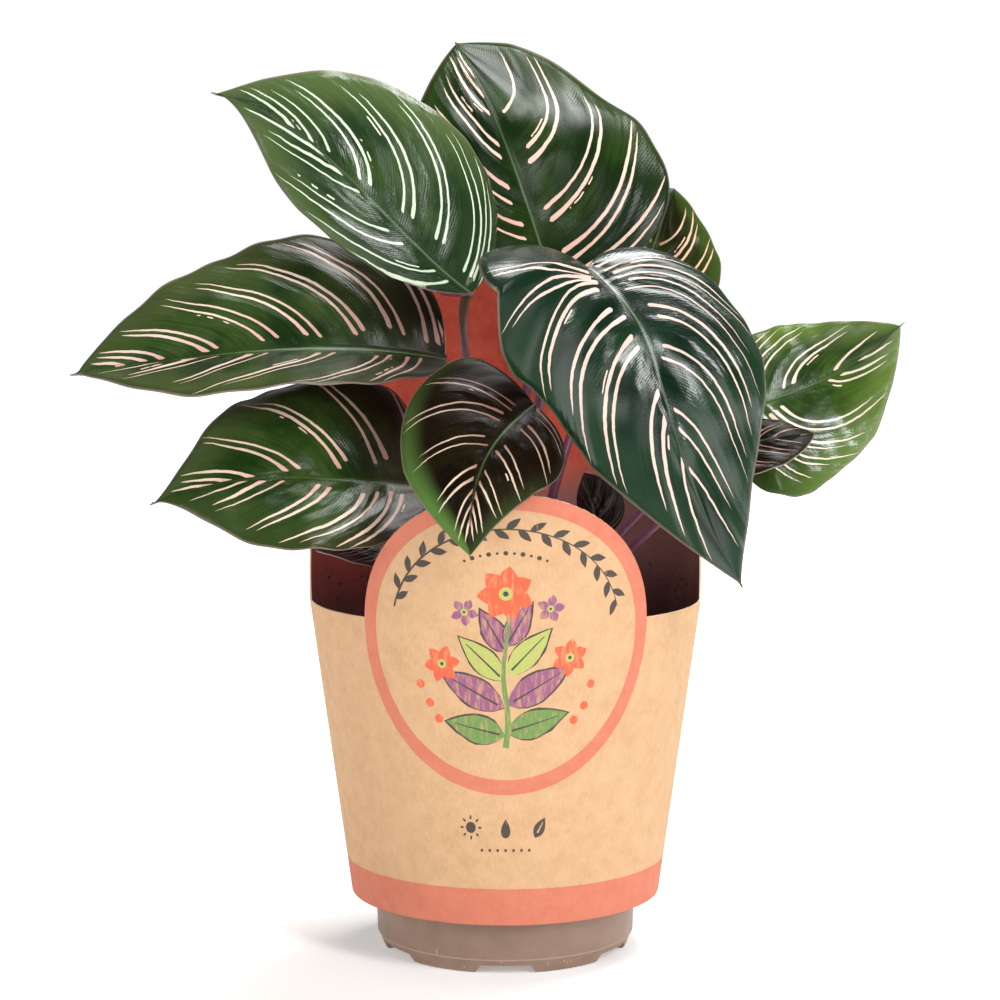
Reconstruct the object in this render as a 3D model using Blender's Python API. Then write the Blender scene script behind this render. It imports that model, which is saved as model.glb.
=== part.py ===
"""Potted calathea in a nursery pot with a card sleeve.

Metres, +Z up. The origin is the centre of the pot's underside, and the front of the sleeve
faces -Y. Leaf and stalk places are written in millimetres and scaled by MM.
"""

import math

import bmesh
import bpy
from mathutils import Matrix, Vector

MM = 0.001
CLEARANCE = 0.3 * MM

# Pot: a moulded 12 cm nursery pot
POT_HEIGHT = 92 * MM
POT_RIM_RADIUS = 58.3 * MM
POT_RIM_DEPTH = 7 * MM
POT_RIM_LIP = 2.2 * MM
POT_WALL = 1.2 * MM
POT_TOP_RADIUS = 55.8 * MM
POT_FOOT_RADIUS = 43.9 * MM
POT_FOOT_HEIGHT = 20 * MM
POT_STEP_HEIGHT = 4.6 * MM
POT_STEP_RADIUS = 43.4 * MM
POT_BASE_RADIUS = 41.6 * MM
POT_BASE_ROUND = 1.0 * MM
POT_FLOOR = 4.8 * MM
POT_RECESS_DEPTH = 3.2 * MM
POT_RECESS_INNER = 14 * MM
POT_RECESS_OUTER = 32 * MM
POT_SEGMENTS = 56
NOTCH_COUNT = 6
NOTCH_WIDTH = 20 * MM
NOTCH_TOP_WIDTH = 16.6 * MM
NOTCH_HEIGHT = 2.9 * MM
DRAIN_RADIUS = 3 * MM
DRAIN_PLACE = 23 * MM

# Soil: the filled inside of the pot
SOIL_EDGE = 83 * MM
SOIL_CROWN = 86 * MM
SOIL_SEGMENTS = 40
STALK_SOCKET = 9 * MM

# Sleeve: card rolled to a slightly pointed cone, a disc on its front edge, a tall back
SLEEVE_BOTTOM = 18.6 * MM
SLEEVE_FRONT_TOP = 118 * MM
SLEEVE_HALF_WIDTH_BOTTOM = 51.8 * MM
SLEEVE_HALF_WIDTH_TOP = 65.5 * MM
SLEEVE_FLATTENING = 2 * MM
SLEEVE_CARD = 0.6 * MM
SLEEVE_BACK_RISE = 127 * MM
SLEEVE_BACK_CURVE = 1.2
SLEEVE_BACK_COLUMNS = 32
SLEEVE_SIDE_COLUMNS = 6
DISC_HEIGHT = 111.2 * MM
DISC_HALF_WIDTH = 50 * MM
DISC_HALF_HEIGHT = 48.7 * MM
DISC_COLUMNS = 22

# Leaves and stalks
BLADE_THICKNESS = 0.8 * MM
BLADE_VEINS = 12
BLADE_STRIPS = 4
STALK_POINTS = 11
STALK_TOP_RADIUS = 1.3 * MM
STALK_FOOT_RADIUS = 2.1 * MM
STALK_BEVEL_RESOLUTION = 2

COLOURS = {
    "pot": (0.29, 0.19, 0.13),
    "soil": (0.03, 0.02, 0.014),
    "sleeve": (0.78, 0.50, 0.26),
    "leaf": (0.012, 0.045, 0.02),
    "leaf_pale": (0.05, 0.14, 0.03),
    "leaf_shade": (0.03, 0.012, 0.014),
    "stalk": (0.10, 0.03, 0.05),
}

# One entry for each leaf. rib: four points of the midrib, from the stalk joint to the tip.
# face: which way the upper side looks at the joint, the middle and the tip. half, fold,
# curl, widest, base, taper, tip and lobe hold the left and the right half of the blade, as
# seen from above with the tip ahead: half-width in mm, fold up from the midrib and curl of
# the margin in degrees, share of the length at which the half is widest, roundness of the
# base, fullness towards the tip, bluntness of the tip, and how far the base lobe reaches
# back. cup: degrees that a half is cupped upwards at its base. wave: height in mm and number
# of the margin's waves. foot: where the stalk leaves the soil. bow: how far the stalk rises
# straight, and how it comes up to the joint.
LEAVES = [
    dict(name="top_left", rib=[(-11, -12, 220), (-36, -22, 243), (-62, -24, 268), (-94, -10, 285)],
         face=[(0.1, -0.85, 0.5), (0, -0.9, 0.42), (0, -0.9, 0.42)], half=(19, 40), fold=(0, 6),
         curl=(-15, -20), widest=(0.55, 0.37), base=(1.0, 0.5), taper=(2.0, 2.3),
         tip=(1.6, 1.05), lobe=(0, 0.1), wave=(0.8, 2.5), foot=(-2, -1), bow=(75, 28),
         colour="leaf_pale"),
    dict(name="top", rib=[(17, 13, 220), (5, 12, 256), (-5, 23, 282), (-17, 48, 305)],
         face=[(0.1, -0.9, 0.35), (0.2, -0.8, 0.6), (0, -0.3, 0.9)], half=(33, 54.5), fold=(8, 5),
         curl=(-20, -15), widest=(0.42, 0.36), base=(0.5, 0.42), taper=(2.0, 2.4),
         tip=(0.9, 0.6), lobe=(0, 0.04), wave=(3.2, 0.9), foot=(1, 7), bow=(80, 40),
         colour="leaf"),
    dict(name="behind_top", rib=[(39, 24, 206), (48, 30, 227), (54, 37, 243), (59, 46, 255)],
         face=[(0.3, -0.7, 0.6), (0.3, -0.7, 0.6), (0.3, -0.6, 0.7)], half=(26, 27),
         fold=(10, 10), curl=(-20, -30), widest=(0.42, 0.42), base=(0.5, 0.5), taper=(2.0, 2.0),
         tip=(0.8, 0.8), lobe=(0, 0), wave=(0.8, 2.0), foot=(8, 5), bow=(60, 40),
         colour="leaf"),
    dict(name="mid_left", rib=[(-20, -2, 198), (-59, -14, 202), (-97, -22, 200), (-140, -16, 194)],
         face=[(-0.1, -0.6, 0.8), (-0.1, -0.5, 0.8), (-0.1, -0.6, 0.8)], half=(38, 46),
         fold=(20, 32), curl=(-5, -15), widest=(0.42, 0.33), base=(0.5, 0.5), taper=(2.2, 1.9),
         tip=(1.2, 0.6), lobe=(0, 0), wave=(1.0, 2.5), foot=(-7, 7), bow=(60, 35),
         colour="leaf"),
    dict(name="lower_left", rib=[(-25, -30, 158), (-53, -45, 162), (-81, -56, 163), (-110, -56, 156)],
         face=[(-0.1, -0.7, 0.6), (-0.1, -0.7, 0.6), (-0.1, -0.7, 0.6)], half=(29, 49),
         fold=(6, 14), curl=(-8, -25), widest=(0.5, 0.28), base=(0.6, 0.5), taper=(2.2, 2.0),
         tip=(1.5, 1.15), lobe=(0, 0.08), wave=(1.0, 2.5), foot=(-9, -9), bow=(30, 30),
         colour="leaf"),
    dict(name="small_front", rib=[(9, -48, 186), (-2, -66, 177), (-9, -78, 164), (-11, -80, 142)],
         face=[(0.4, -0.6, 0.6), (0.1, -0.75, 0.65), (0, -0.9, 0.3)], half=(22, 31.5),
         fold=(10, 8), curl=(-25, -25), widest=(0.42, 0.38), base=(0.5, 0.5), taper=(1.6, 1.8),
         tip=(0.9, 1.0), lobe=(0.05, 0.13), wave=(0.6, 2.0), foot=(0, -11), bow=(50, 35),
         colour="leaf_shade"),
    dict(name="large_front", rib=[(26, -48, 229), (44, -62, 206), (53, -66, 176), (74, -56, 130)],
         face=[(0.2, -0.6, 0.75), (0.1, -0.85, 0.45), (0.1, -0.9, 0.3)], half=(36, 48.5),
         fold=(6, 8), curl=(-25, -38), cup=(4, 28), widest=(0.46, 0.3), base=(0.5, 1.0),
         taper=(2.5, 1.35), tip=(1.0, 1.0), lobe=(0.1, 0.29), wave=(1.0, 2.5), foot=(7, -4),
         bow=(80, 40), colour="leaf"),
    dict(name="right", rib=[(76, -2, 180), (94, 2, 186), (111, 4, 193), (131, -2, 209)],
         face=[(0.1, -0.8, 0.6), (0.1, -0.85, 0.5), (0.1, -0.85, 0.5)], half=(26, 35),
         fold=(8, 8), curl=(-20, -25), widest=(0.3, 0.36), base=(0.4, 0.5), taper=(2.4, 1.6),
         tip=(0.8, 0.9), lobe=(0, 0.2), wave=(0.8, 2.5), foot=(15, 2), bow=(45, 30),
         colour="leaf_pale"),
    dict(name="tip_right", rib=[(60, -22, 165), (74, -26, 170), (87, -28, 174), (100, -26, 175)],
         face=[(0.1, -0.5, 0.8), (0.1, -0.5, 0.8), (0.1, -0.5, 0.8)], half=(13, 15), fold=(5, 5),
         curl=(-15, -15), widest=(0.42, 0.42), base=(0.5, 0.5), taper=(2.0, 2.0),
         tip=(0.8, 0.8), lobe=(0, 0), wave=(0.4, 2.0), foot=(14, -6), bow=(40, 25),
         colour="leaf_shade"),
    dict(name="inner_left", rib=[(-30, -17, 134), (-41, -22, 137), (-51, -25, 138), (-61.5, -26, 137)],
         face=[(-0.1, -0.4, 0.9), (-0.1, -0.4, 0.9), (-0.1, -0.4, 0.9)], half=(8, 13),
         fold=(-10, 5), curl=(-15, -15), widest=(0.42, 0.42), base=(0.5, 0.5), taper=(2.0, 2.0),
         tip=(1.0, 1.0), lobe=(0, 0), wave=(0.3, 1.5), foot=(-15, -3), bow=(25, 15),
         colour="leaf_shade"),
    dict(name="inner_right", rib=[(31, -24, 141), (29, -27, 148), (27, -30, 156), (25.5, -33, 163)],
         face=[(0.1, -0.9, 0.1), (0.1, -0.9, 0.1), (0.1, -0.9, 0.1)], half=(5, 11), fold=(5, 5),
         curl=(-15, -15), widest=(0.42, 0.42), base=(0.5, 0.5), taper=(2.0, 2.0),
         tip=(1.0, 1.0), lobe=(0, 0), wave=(0.3, 1.5), foot=(8, -13), bow=(20, 15),
         colour="leaf_shade"),
]


def clear_scene():
    for old in list(bpy.data.objects):
        bpy.data.objects.remove(old, do_unlink=True)


def material(name, colour, roughness, metallic=0.0):
    mat = bpy.data.materials.new(name)
    mat.use_nodes = True
    shader = mat.node_tree.nodes["Principled BSDF"]
    shader.inputs["Base Color"].default_value = (*colour, 1.0)
    shader.inputs["Roughness"].default_value = roughness
    shader.inputs["Metallic"].default_value = metallic
    mat.diffuse_color = (*colour, 1.0)
    return mat


def add_object(name, mesh, mat, smooth_angle=40):
    obj = bpy.data.objects.new(name, mesh)
    bpy.context.scene.collection.objects.link(obj)
    mesh.materials.append(mat)
    mesh.shade_smooth()
    mesh.set_sharp_from_angle(angle=math.radians(smooth_angle))
    return obj


def mesh_from(name, points, faces):
    mesh = bpy.data.meshes.new(name)
    mesh.from_pydata([tuple(p) for p in points], [], faces)
    mesh.update()
    return mesh


def turned_mesh(name, profile, segments):
    """Spin a profile of (radius, height), from the axis round to the axis, about Z."""
    bm = bmesh.new()
    verts = [bm.verts.new((radius, 0, height)) for radius, height in profile]
    edges = [bm.edges.new(pair) for pair in zip(verts, verts[1:])]
    bmesh.ops.spin(bm, geom=verts + edges, cent=(0, 0, 0), axis=(0, 0, 1),
                   angle=2 * math.pi, steps=segments, use_merge=True)
    bmesh.ops.remove_doubles(bm, verts=bm.verts, dist=1e-6)
    bmesh.ops.recalc_face_normals(bm, faces=bm.faces)
    mesh = bpy.data.meshes.new(name)
    bm.to_mesh(mesh)
    bm.free()
    return mesh


def cutter(name, mesh, place=Matrix.Identity(4)):
    """A hidden wire shape for a Boolean to take away."""
    obj = bpy.data.objects.new(name, mesh)
    bpy.context.scene.collection.objects.link(obj)
    obj.matrix_world = place
    obj.hide_render = True
    obj.display_type = "WIRE"
    return obj


def cut_away(target, tool):
    cut = target.modifiers.new(tool.name, "BOOLEAN")
    cut.operation = "DIFFERENCE"
    cut.solver = "EXACT"
    cut.object = tool


def pot_inner_radius(height):
    """Inside radius of the pot's wall between its foot and the underside of its rim."""
    top = POT_HEIGHT - POT_RIM_DEPTH
    share = (height - POT_FOOT_HEIGHT) / (top - POT_FOOT_HEIGHT)
    outer = POT_FOOT_RADIUS + share * (POT_TOP_RADIUS - POT_FOOT_RADIUS)
    return min(outer, POT_TOP_RADIUS) - POT_WALL


def notch_mesh():
    """A trapezoid bar from the recess out through the foot ring."""
    low, high = NOTCH_WIDTH / 2, NOTCH_TOP_WIDTH / 2
    near, far = POT_RECESS_OUTER - 3 * MM, POT_BASE_RADIUS + 4 * MM
    points = []
    for reach in (near, far):
        points += [(-low, -reach, -MM), (low, -reach, -MM), (high, -reach, NOTCH_HEIGHT),
                   (-high, -reach, NOTCH_HEIGHT)]
    faces = [(3, 2, 1, 0), (4, 5, 6, 7), (1, 5, 4, 0), (2, 6, 5, 1), (3, 7, 6, 2), (0, 4, 7, 3)]
    return mesh_from("notch", points, faces)


def build_pot(mat):
    top = POT_HEIGHT
    under_rim = top - POT_RIM_DEPTH
    rim_inner = POT_RIM_RADIUS - POT_RIM_LIP
    profile = [
        (0, 0), (POT_RECESS_INNER, 0), (POT_RECESS_INNER + MM, POT_RECESS_DEPTH),
        (POT_RECESS_OUTER, POT_RECESS_DEPTH), (POT_RECESS_OUTER + MM, 0),
        (POT_BASE_RADIUS - POT_BASE_ROUND, 0), (POT_BASE_RADIUS, POT_BASE_ROUND),
        (POT_STEP_RADIUS - 0.5 * MM, POT_STEP_HEIGHT), (POT_STEP_RADIUS, POT_STEP_HEIGHT + 0.5 * MM),
        (POT_FOOT_RADIUS, POT_FOOT_HEIGHT), (POT_TOP_RADIUS, under_rim),
        (POT_RIM_RADIUS - 0.5 * MM, under_rim), (POT_RIM_RADIUS, under_rim + 0.5 * MM),
        (POT_RIM_RADIUS, top - 0.7 * MM), (POT_RIM_RADIUS - 0.7 * MM, top),
        (rim_inner, top), (pot_inner_radius(under_rim), under_rim),
        (pot_inner_radius(POT_FOOT_HEIGHT), POT_FOOT_HEIGHT),
        (POT_STEP_RADIUS - POT_WALL, POT_FLOOR), (0, POT_FLOOR),
    ]
    pot = add_object("pot", turned_mesh("pot", profile, POT_SEGMENTS), mat, 25)
    notch = notch_mesh()
    drain = turned_mesh("drain", [(0, -MM), (DRAIN_RADIUS, -MM), (DRAIN_RADIUS, 2 * POT_FLOOR),
                                  (0, 2 * POT_FLOOR)], 12)
    for index in range(NOTCH_COUNT):
        turn = Matrix.Rotation(2 * math.pi * index / NOTCH_COUNT, 4, "Z")
        cut_away(pot, cutter(f"notch_{index}", notch, turn))
        half_turn = Matrix.Rotation(2 * math.pi * (index + 0.5) / NOTCH_COUNT, 4, "Z")
        place = half_turn @ Matrix.Translation((DRAIN_PLACE, 0, 0))
        cut_away(pot, cutter(f"drain_{index}", drain, place))
    return pot


def build_soil(mat):
    floor = POT_FLOOR + CLEARANCE
    profile = [
        (0, floor), (POT_STEP_RADIUS - POT_WALL - CLEARANCE, floor),
        (pot_inner_radius(POT_FOOT_HEIGHT) - CLEARANCE, POT_FOOT_HEIGHT),
        (pot_inner_radius(SOIL_EDGE) - CLEARANCE, SOIL_EDGE),
        (pot_inner_radius(SOIL_EDGE) * 0.7, SOIL_EDGE + 0.6 * (SOIL_CROWN - SOIL_EDGE)),
        (pot_inner_radius(SOIL_EDGE) * 0.35, SOIL_CROWN), (0, SOIL_CROWN),
    ]
    soil = add_object("soil", turned_mesh("soil", profile, SOIL_SEGMENTS), mat)
    radius = STALK_FOOT_RADIUS + CLEARANCE
    socket = turned_mesh("socket", [(0, 0), (radius, 0), (radius, 2 * STALK_SOCKET),
                                    (0, 2 * STALK_SOCKET)], 12)
    for leaf in LEAVES:
        foot = Vector((*leaf["foot"], 0)) * MM
        place = Matrix.Translation(foot + Vector((0, 0, SOIL_CROWN - STALK_SOCKET)))
        cut_away(soil, cutter("socket_" + leaf["name"], socket, place))
    return soil


def sleeve_half_width(height):
    share = (height - SLEEVE_BOTTOM) / (SLEEVE_FRONT_TOP - SLEEVE_BOTTOM)
    return SLEEVE_HALF_WIDTH_BOTTOM + share * (SLEEVE_HALF_WIDTH_TOP - SLEEVE_HALF_WIDTH_BOTTOM)


def sleeve_point(turn, height):
    """turn runs from 0 at the front centre, past 1 at the right corner, to 2 at the back."""
    width = sleeve_half_width(height)
    radius = math.hypot(width, SLEEVE_FLATTENING)
    corner = math.atan2(width, SLEEVE_FLATTENING)
    back = abs(turn) > 1
    angle = corner * (2 - abs(turn) if back else abs(turn))
    x = math.copysign(radius * math.sin(angle), turn)
    y = radius * math.cos(angle) - SLEEVE_FLATTENING
    return Vector((x, y if back else -y, height))


def sleeve_columns():
    """Pairs of (turn, height of the top edge) all the way round."""
    quarter = math.pi / 2 * sleeve_half_width(DISC_HEIGHT)
    meets = math.asin((SLEEVE_FRONT_TOP - DISC_HEIGHT) / DISC_HALF_HEIGHT)
    reach = math.pi / 2 - meets
    columns = []
    for step in range(DISC_COLUMNS + 1):
        angle = reach * (2 * step / DISC_COLUMNS - 1)
        columns.append((DISC_HALF_WIDTH * math.sin(angle) / quarter,
                        DISC_HEIGHT + DISC_HALF_HEIGHT * math.cos(angle)))
    edge = columns[-1][0]
    for step in range(1, SLEEVE_SIDE_COLUMNS + 1):
        columns.append((edge + (1 - edge) * step / SLEEVE_SIDE_COLUMNS, SLEEVE_FRONT_TOP))
    for step in range(1, SLEEVE_BACK_COLUMNS):
        turn = 1 + 2 * step / SLEEVE_BACK_COLUMNS
        rise = math.sin(math.pi / 2 * (turn - 1)) ** SLEEVE_BACK_CURVE
        columns.append((turn, SLEEVE_FRONT_TOP + SLEEVE_BACK_RISE * rise))
    for step in range(SLEEVE_SIDE_COLUMNS):
        columns.append((3 + (1 - edge) * step / SLEEVE_SIDE_COLUMNS, SLEEVE_FRONT_TOP))
    return [(turn if turn <= 2 else turn - 4, height) for turn, height in columns]


def build_sleeve(mat):
    points, faces = [], []
    columns = sleeve_columns()
    for turn, top in columns:
        points += [sleeve_point(turn, SLEEVE_BOTTOM), sleeve_point(turn, top)]
    for index in range(len(columns)):
        low = 2 * index
        after = 2 * ((index + 1) % len(columns))
        faces += [(low, after, after + 1), (low, after + 1, low + 1)]
    sleeve = add_object("sleeve", mesh_from("sleeve", points, faces), mat, 20)
    card = sleeve.modifiers.new("card", "SOLIDIFY")
    card.thickness = SLEEVE_CARD
    card.offset = 0
    return sleeve


def rib_point(leaf, along):
    """Cubic through the four rib points; straight on behind the joint."""
    if along < 0:
        step = 0.001
        return rib_point(leaf, 0) + (rib_point(leaf, step) - rib_point(leaf, 0)) * (along / step)
    a, b, c, d = along, along - 1 / 3, along - 2 / 3, along - 1
    weights = (-4.5 * b * c * d, 13.5 * a * c * d, -13.5 * a * b * d, 4.5 * a * b * c)
    total = Vector()
    for weight, point in zip(weights, leaf["rib"]):
        total += Vector(point) * weight
    return total


def blade_frame(leaf, along):
    """The rib's direction, the way across to the right, and the upper side's normal."""
    along = min(max(along, 0.0), 1.0)
    step = 0.002
    ahead = rib_point(leaf, min(along + step, 1)) - rib_point(leaf, max(along - step, 0))
    ahead.normalize()
    first, middle, last = (Vector(face).normalized() for face in leaf["face"])
    up = (first * (2 * (along - 0.5) * (along - 1)) - middle * (4 * along * (along - 1))
          + last * (2 * along * (along - 0.5)))
    up = (up - ahead * up.dot(ahead)).normalized()
    return ahead, ahead.cross(up), up


def margin(leaf, share, side):
    """Place along the rib and width of the blade's margin, as shares of its size."""
    widest = leaf["widest"][side]
    along = 1 - (1 - share) ** 2.2
    if along < widest:
        width = (1 - (1 - along / widest) ** 2.2) ** leaf["base"][side]
    else:
        beyond = (along - widest) / (1 - widest)
        width = max(0.0, 1 - beyond ** leaf["taper"][side]) ** leaf["tip"][side]
    along -= leaf["lobe"][side] * math.sin(math.pi * math.sqrt(min(1.0, share / 0.4)))
    return along, width


def blade_point(leaf, share, out, side):
    """A point a share out from the rib along the side vein that starts at the given share."""
    start = share ** 1.3
    along, width = margin(leaf, share, side)
    along = start + (along - start) * (0.4 * out + 0.6 * out ** 3)
    ahead, across, up = blade_frame(leaf, along)
    reach = width * out * leaf["half"][side]
    clamped = min(max(along, 0.0), 1.0)
    fold = leaf["fold"][side] * (1.15 - 0.5 * clamped)
    fold += leaf.get("cup", (0, 0))[side] * max(0.0, 1 - clamped / 0.45) ** 2
    angle = math.radians(fold + 0.6 * leaf["curl"][side] * out * out)
    height, count = leaf["wave"]
    phase = 0.25 if side else 0.0
    wave = height * math.sin(2 * math.pi * (count * along + phase)) * out ** 3 * min(1, 3 * width)
    sign = 1 if side else -1
    point = rib_point(leaf, along) + across * (sign * reach * math.cos(angle))
    return point + up * (reach * math.sin(angle) + wave)


def build_blade(leaf, mat):
    """Both halves in rows that follow the side veins, in triangles, then thickened."""
    points, faces, rows = [], [], []
    for vein in range(BLADE_VEINS + 1):
        share = (vein / BLADE_VEINS) ** 1.6
        if vein in (0, BLADE_VEINS):
            points.append(rib_point(leaf, float(vein > 0)))
            rows.append([len(points) - 1] * (2 * BLADE_STRIPS + 1))
            continue
        row = []
        for strip in range(-BLADE_STRIPS, BLADE_STRIPS + 1):
            side = int(strip > 0)
            points.append(blade_point(leaf, share, abs(strip) / BLADE_STRIPS, side))
            row.append(len(points) - 1)
        rows.append(row)
    for lower, upper in zip(rows, rows[1:]):
        for strip in range(2 * BLADE_STRIPS):
            a, b = lower[strip], lower[strip + 1]
            c, d = upper[strip + 1], upper[strip]
            corners = (a, b, c), (a, c, d)
            if strip < BLADE_STRIPS:
                corners = (a, b, d), (b, c, d)
            faces += [face for face in corners if len(set(face)) == 3]
    mesh = mesh_from("leaf_" + leaf["name"], [p * MM for p in points], faces)
    blade = add_object("leaf_" + leaf["name"], mesh, mat, 60)
    body = blade.modifiers.new("body", "SOLIDIFY")
    body.thickness = BLADE_THICKNESS
    body.offset = 0
    return blade


def stalk_route(leaf):
    """Foot in its socket, straight up, then over to just under the blade's joint."""
    ahead, across, up = blade_frame(leaf, 0)
    coming = (up + ahead * 0.35).normalized()
    lean = math.sqrt(1 - coming.dot(up) ** 2)
    gap = (BLADE_THICKNESS / 2 + CLEARANCE + STALK_TOP_RADIUS * lean) / MM
    end = rib_point(leaf, 0) - up * (gap + 0.2) + ahead * 0.8
    rise, reach = leaf["bow"]
    foot = Vector((*leaf["foot"], (SOIL_CROWN - STALK_SOCKET + CLEARANCE) / MM))
    collar = Vector((*leaf["foot"], SOIL_CROWN / MM + 1))
    handles = collar + Vector((0, 0, rise)), end - coming * reach
    route = [foot]
    for step in range(STALK_POINTS):
        t = step / (STALK_POINTS - 1)
        point = (collar * (1 - t) ** 3 + handles[0] * (3 * t * (1 - t) ** 2)
                 + handles[1] * (3 * t * t * (1 - t)) + end * t ** 3)
        route.append(point)
    return [point * MM for point in route]


def build_stalk(leaf, mat):
    route = stalk_route(leaf)
    curve = bpy.data.curves.new("stalk_" + leaf["name"], "CURVE")
    curve.dimensions = "3D"
    curve.bevel_depth = STALK_FOOT_RADIUS
    curve.bevel_resolution = STALK_BEVEL_RESOLUTION
    curve.use_fill_caps = True
    spline = curve.splines.new("POLY")
    spline.points.add(len(route) - 1)
    thinnest = STALK_TOP_RADIUS / STALK_FOOT_RADIUS
    for index, (spline_point, place) in enumerate(zip(spline.points, route)):
        spline_point.co = (*place, 1)
        spline_point.radius = 1 - (1 - thinnest) * max(0, index - 1) / (len(route) - 2)
    curve.materials.append(mat)
    stalk = bpy.data.objects.new("stalk_" + leaf["name"], curve)
    bpy.context.scene.collection.objects.link(stalk)
    return stalk


def build():
    clear_scene()
    build_pot(material("recycled_polypropylene", COLOURS["pot"], 0.55))
    build_soil(material("peat", COLOURS["soil"], 0.95))
    build_sleeve(material("kraft_card", COLOURS["sleeve"], 0.8))
    for leaf in LEAVES:
        name = leaf["name"]
        build_blade(leaf, material("blade_" + name, COLOURS[leaf["colour"]], 0.35))
        build_stalk(leaf, material("stem_" + name, COLOURS["stalk"], 0.5))


build()
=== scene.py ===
# %% [markdown]
# # Potted calathea
# A calathea with pin-striped leaves grows in a moulded nursery pot, and a sleeve of kraft card hangs
# on the pot's rim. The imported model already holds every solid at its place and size, so this script
# only dresses them: finer leaves with veins and stripes, a printed card, a flecked pot and crumbly soil.
# Each dressed piece replaces its plain solid and repeats the same rule for its shape, at a finer step.

# %% The frame
import math
import random

import bmesh
import bpy
import numpy as np
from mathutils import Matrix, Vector
from mathutils.geometry import delaunay_2d_cdt


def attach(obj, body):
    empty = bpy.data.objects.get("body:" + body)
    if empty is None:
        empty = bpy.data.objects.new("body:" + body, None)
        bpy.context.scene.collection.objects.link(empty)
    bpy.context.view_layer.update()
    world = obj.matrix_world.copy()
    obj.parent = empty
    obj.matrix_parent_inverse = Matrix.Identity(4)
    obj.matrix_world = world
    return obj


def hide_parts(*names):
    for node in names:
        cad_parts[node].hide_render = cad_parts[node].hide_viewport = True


MM = 0.001
BODY = "root"

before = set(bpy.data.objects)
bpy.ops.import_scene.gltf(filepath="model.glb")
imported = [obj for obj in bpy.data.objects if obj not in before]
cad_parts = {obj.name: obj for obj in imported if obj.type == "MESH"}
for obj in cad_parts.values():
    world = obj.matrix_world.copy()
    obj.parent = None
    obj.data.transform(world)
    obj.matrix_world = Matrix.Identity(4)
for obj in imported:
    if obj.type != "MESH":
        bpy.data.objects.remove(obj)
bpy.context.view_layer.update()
print("solids in the frame:", len(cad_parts))

# %% [markdown]
# ## A few helpers
# Colours are written as sRGB hex values, as a colour picker shows them, and turned to the linear
# values that Blender mixes in. One function adds any node with its settings and links, for
# materials and for Geometry Nodes alike. The size of a noise is written per millimetre, so 0.2 / MM
# gives blotches about 5 mm wide. A Geometry Nodes tree is run on a small base object, and the result is
# kept as a plain mesh, so that nothing stays live on the finished pieces.

# %% Helpers
MATH = "ShaderNodeMath"
VECTOR = "ShaderNodeVectorMath"
RANGE = "ShaderNodeMapRange"
MIX = "ShaderNodeMix"
NOISE = "ShaderNodeTexNoise"
ATTRIBUTE = "ShaderNodeAttribute"


def linear(hex_colour):
    """sRGB hex to the linear colour that a socket holds."""
    parts = [int(hex_colour[place:place + 2], 16) / 255 for place in (1, 3, 5)]
    return (*[p / 12.92 if p <= 0.04045 else ((p + 0.055) / 1.055) ** 2.4 for p in parts], 1.0)


def node(tree, kind, *values, out=0, **settings):
    """Add a node, set it up, and fill its sockets in order with values or links."""
    made = tree.nodes.new(kind)
    for name, value in settings.items():
        setattr(made, name, value)
    for socket, value in zip([s for s in made.inputs if s.enabled], values):
        if isinstance(value, bpy.types.NodeSocket):
            tree.links.new(value, socket)
        elif value is not None:
            socket.default_value = value
    shown = [s for s in made.outputs if s.enabled]
    return shown[out] if isinstance(out, int) else made.outputs[out]


def new_material(name):
    """A material with its tree and its Principled shader."""
    material = bpy.data.materials.new(name)
    material.use_nodes = True
    return material, material.node_tree, material.node_tree.nodes["Principled BSDF"]


def feed(shader, **sockets):
    """Give the shader's sockets values or links: base_color stands for Base Color."""
    for name, value in sockets.items():
        socket = shader.inputs[name.replace("_", " ").title().replace("Ior", "IOR")]
        if isinstance(value, bpy.types.NodeSocket):
            shader.id_data.links.new(value, socket)
        else:
            socket.default_value = value


def new_tree(name, sizes):
    """A Geometry Nodes tree with named inputs, and the sockets of those inputs."""
    tree = bpy.data.node_groups.new(name, "GeometryNodeTree")
    tree.interface.new_socket("Geometry", in_out="INPUT", socket_type="NodeSocketGeometry")
    for label, kind in sizes.items():
        tree.interface.new_socket(label, in_out="INPUT", socket_type="NodeSocket" + kind)
    tree.interface.new_socket("Geometry", in_out="OUTPUT", socket_type="NodeSocketGeometry")
    return tree, tree.nodes.new("NodeGroupInput").outputs


def close_tree(tree, geometry, material):
    """End a tree in Realize Instances and Set Material."""
    real = node(tree, "GeometryNodeRealizeInstances", geometry)
    finished = node(tree, "GeometryNodeSetMaterial", real, True, material)
    tree.links.new(finished, tree.nodes.new("NodeGroupOutput").inputs[0])


def add_object(name, mesh):
    obj = bpy.data.objects.new(name, mesh)
    bpy.context.scene.collection.objects.link(obj)
    return obj


def evaluated_mesh(obj):
    """The object's mesh with its modifiers worked in, as a plain mesh. The object is removed."""
    depsgraph = bpy.context.evaluated_depsgraph_get()
    mesh = bpy.data.meshes.new_from_object(obj.evaluated_get(depsgraph), depsgraph=depsgraph)
    bpy.data.objects.remove(obj)
    return mesh


def grow(base, tree, values):
    """Run a tree on a base mesh with these inputs, and return the plain mesh that it makes."""
    base_object = add_object("base", base)
    shaping = base_object.modifiers.new(tree.name, "NODES")
    shaping.node_group = tree
    for item in tree.interface.items_tree:
        if item.in_out == "INPUT" and item.name in values:
            shaping[item.identifier] = values[item.name]
    return evaluated_mesh(base_object)


def finish_piece(name, mesh, nodes, materials=()):
    """A plain mesh becomes a piece that stands for its solids."""
    mesh.name = name
    mesh.shade_smooth()
    for material in materials:
        mesh.materials.append(material)
    piece = add_object(name, mesh)
    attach(piece, BODY)
    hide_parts(*nodes)
    return piece


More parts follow.
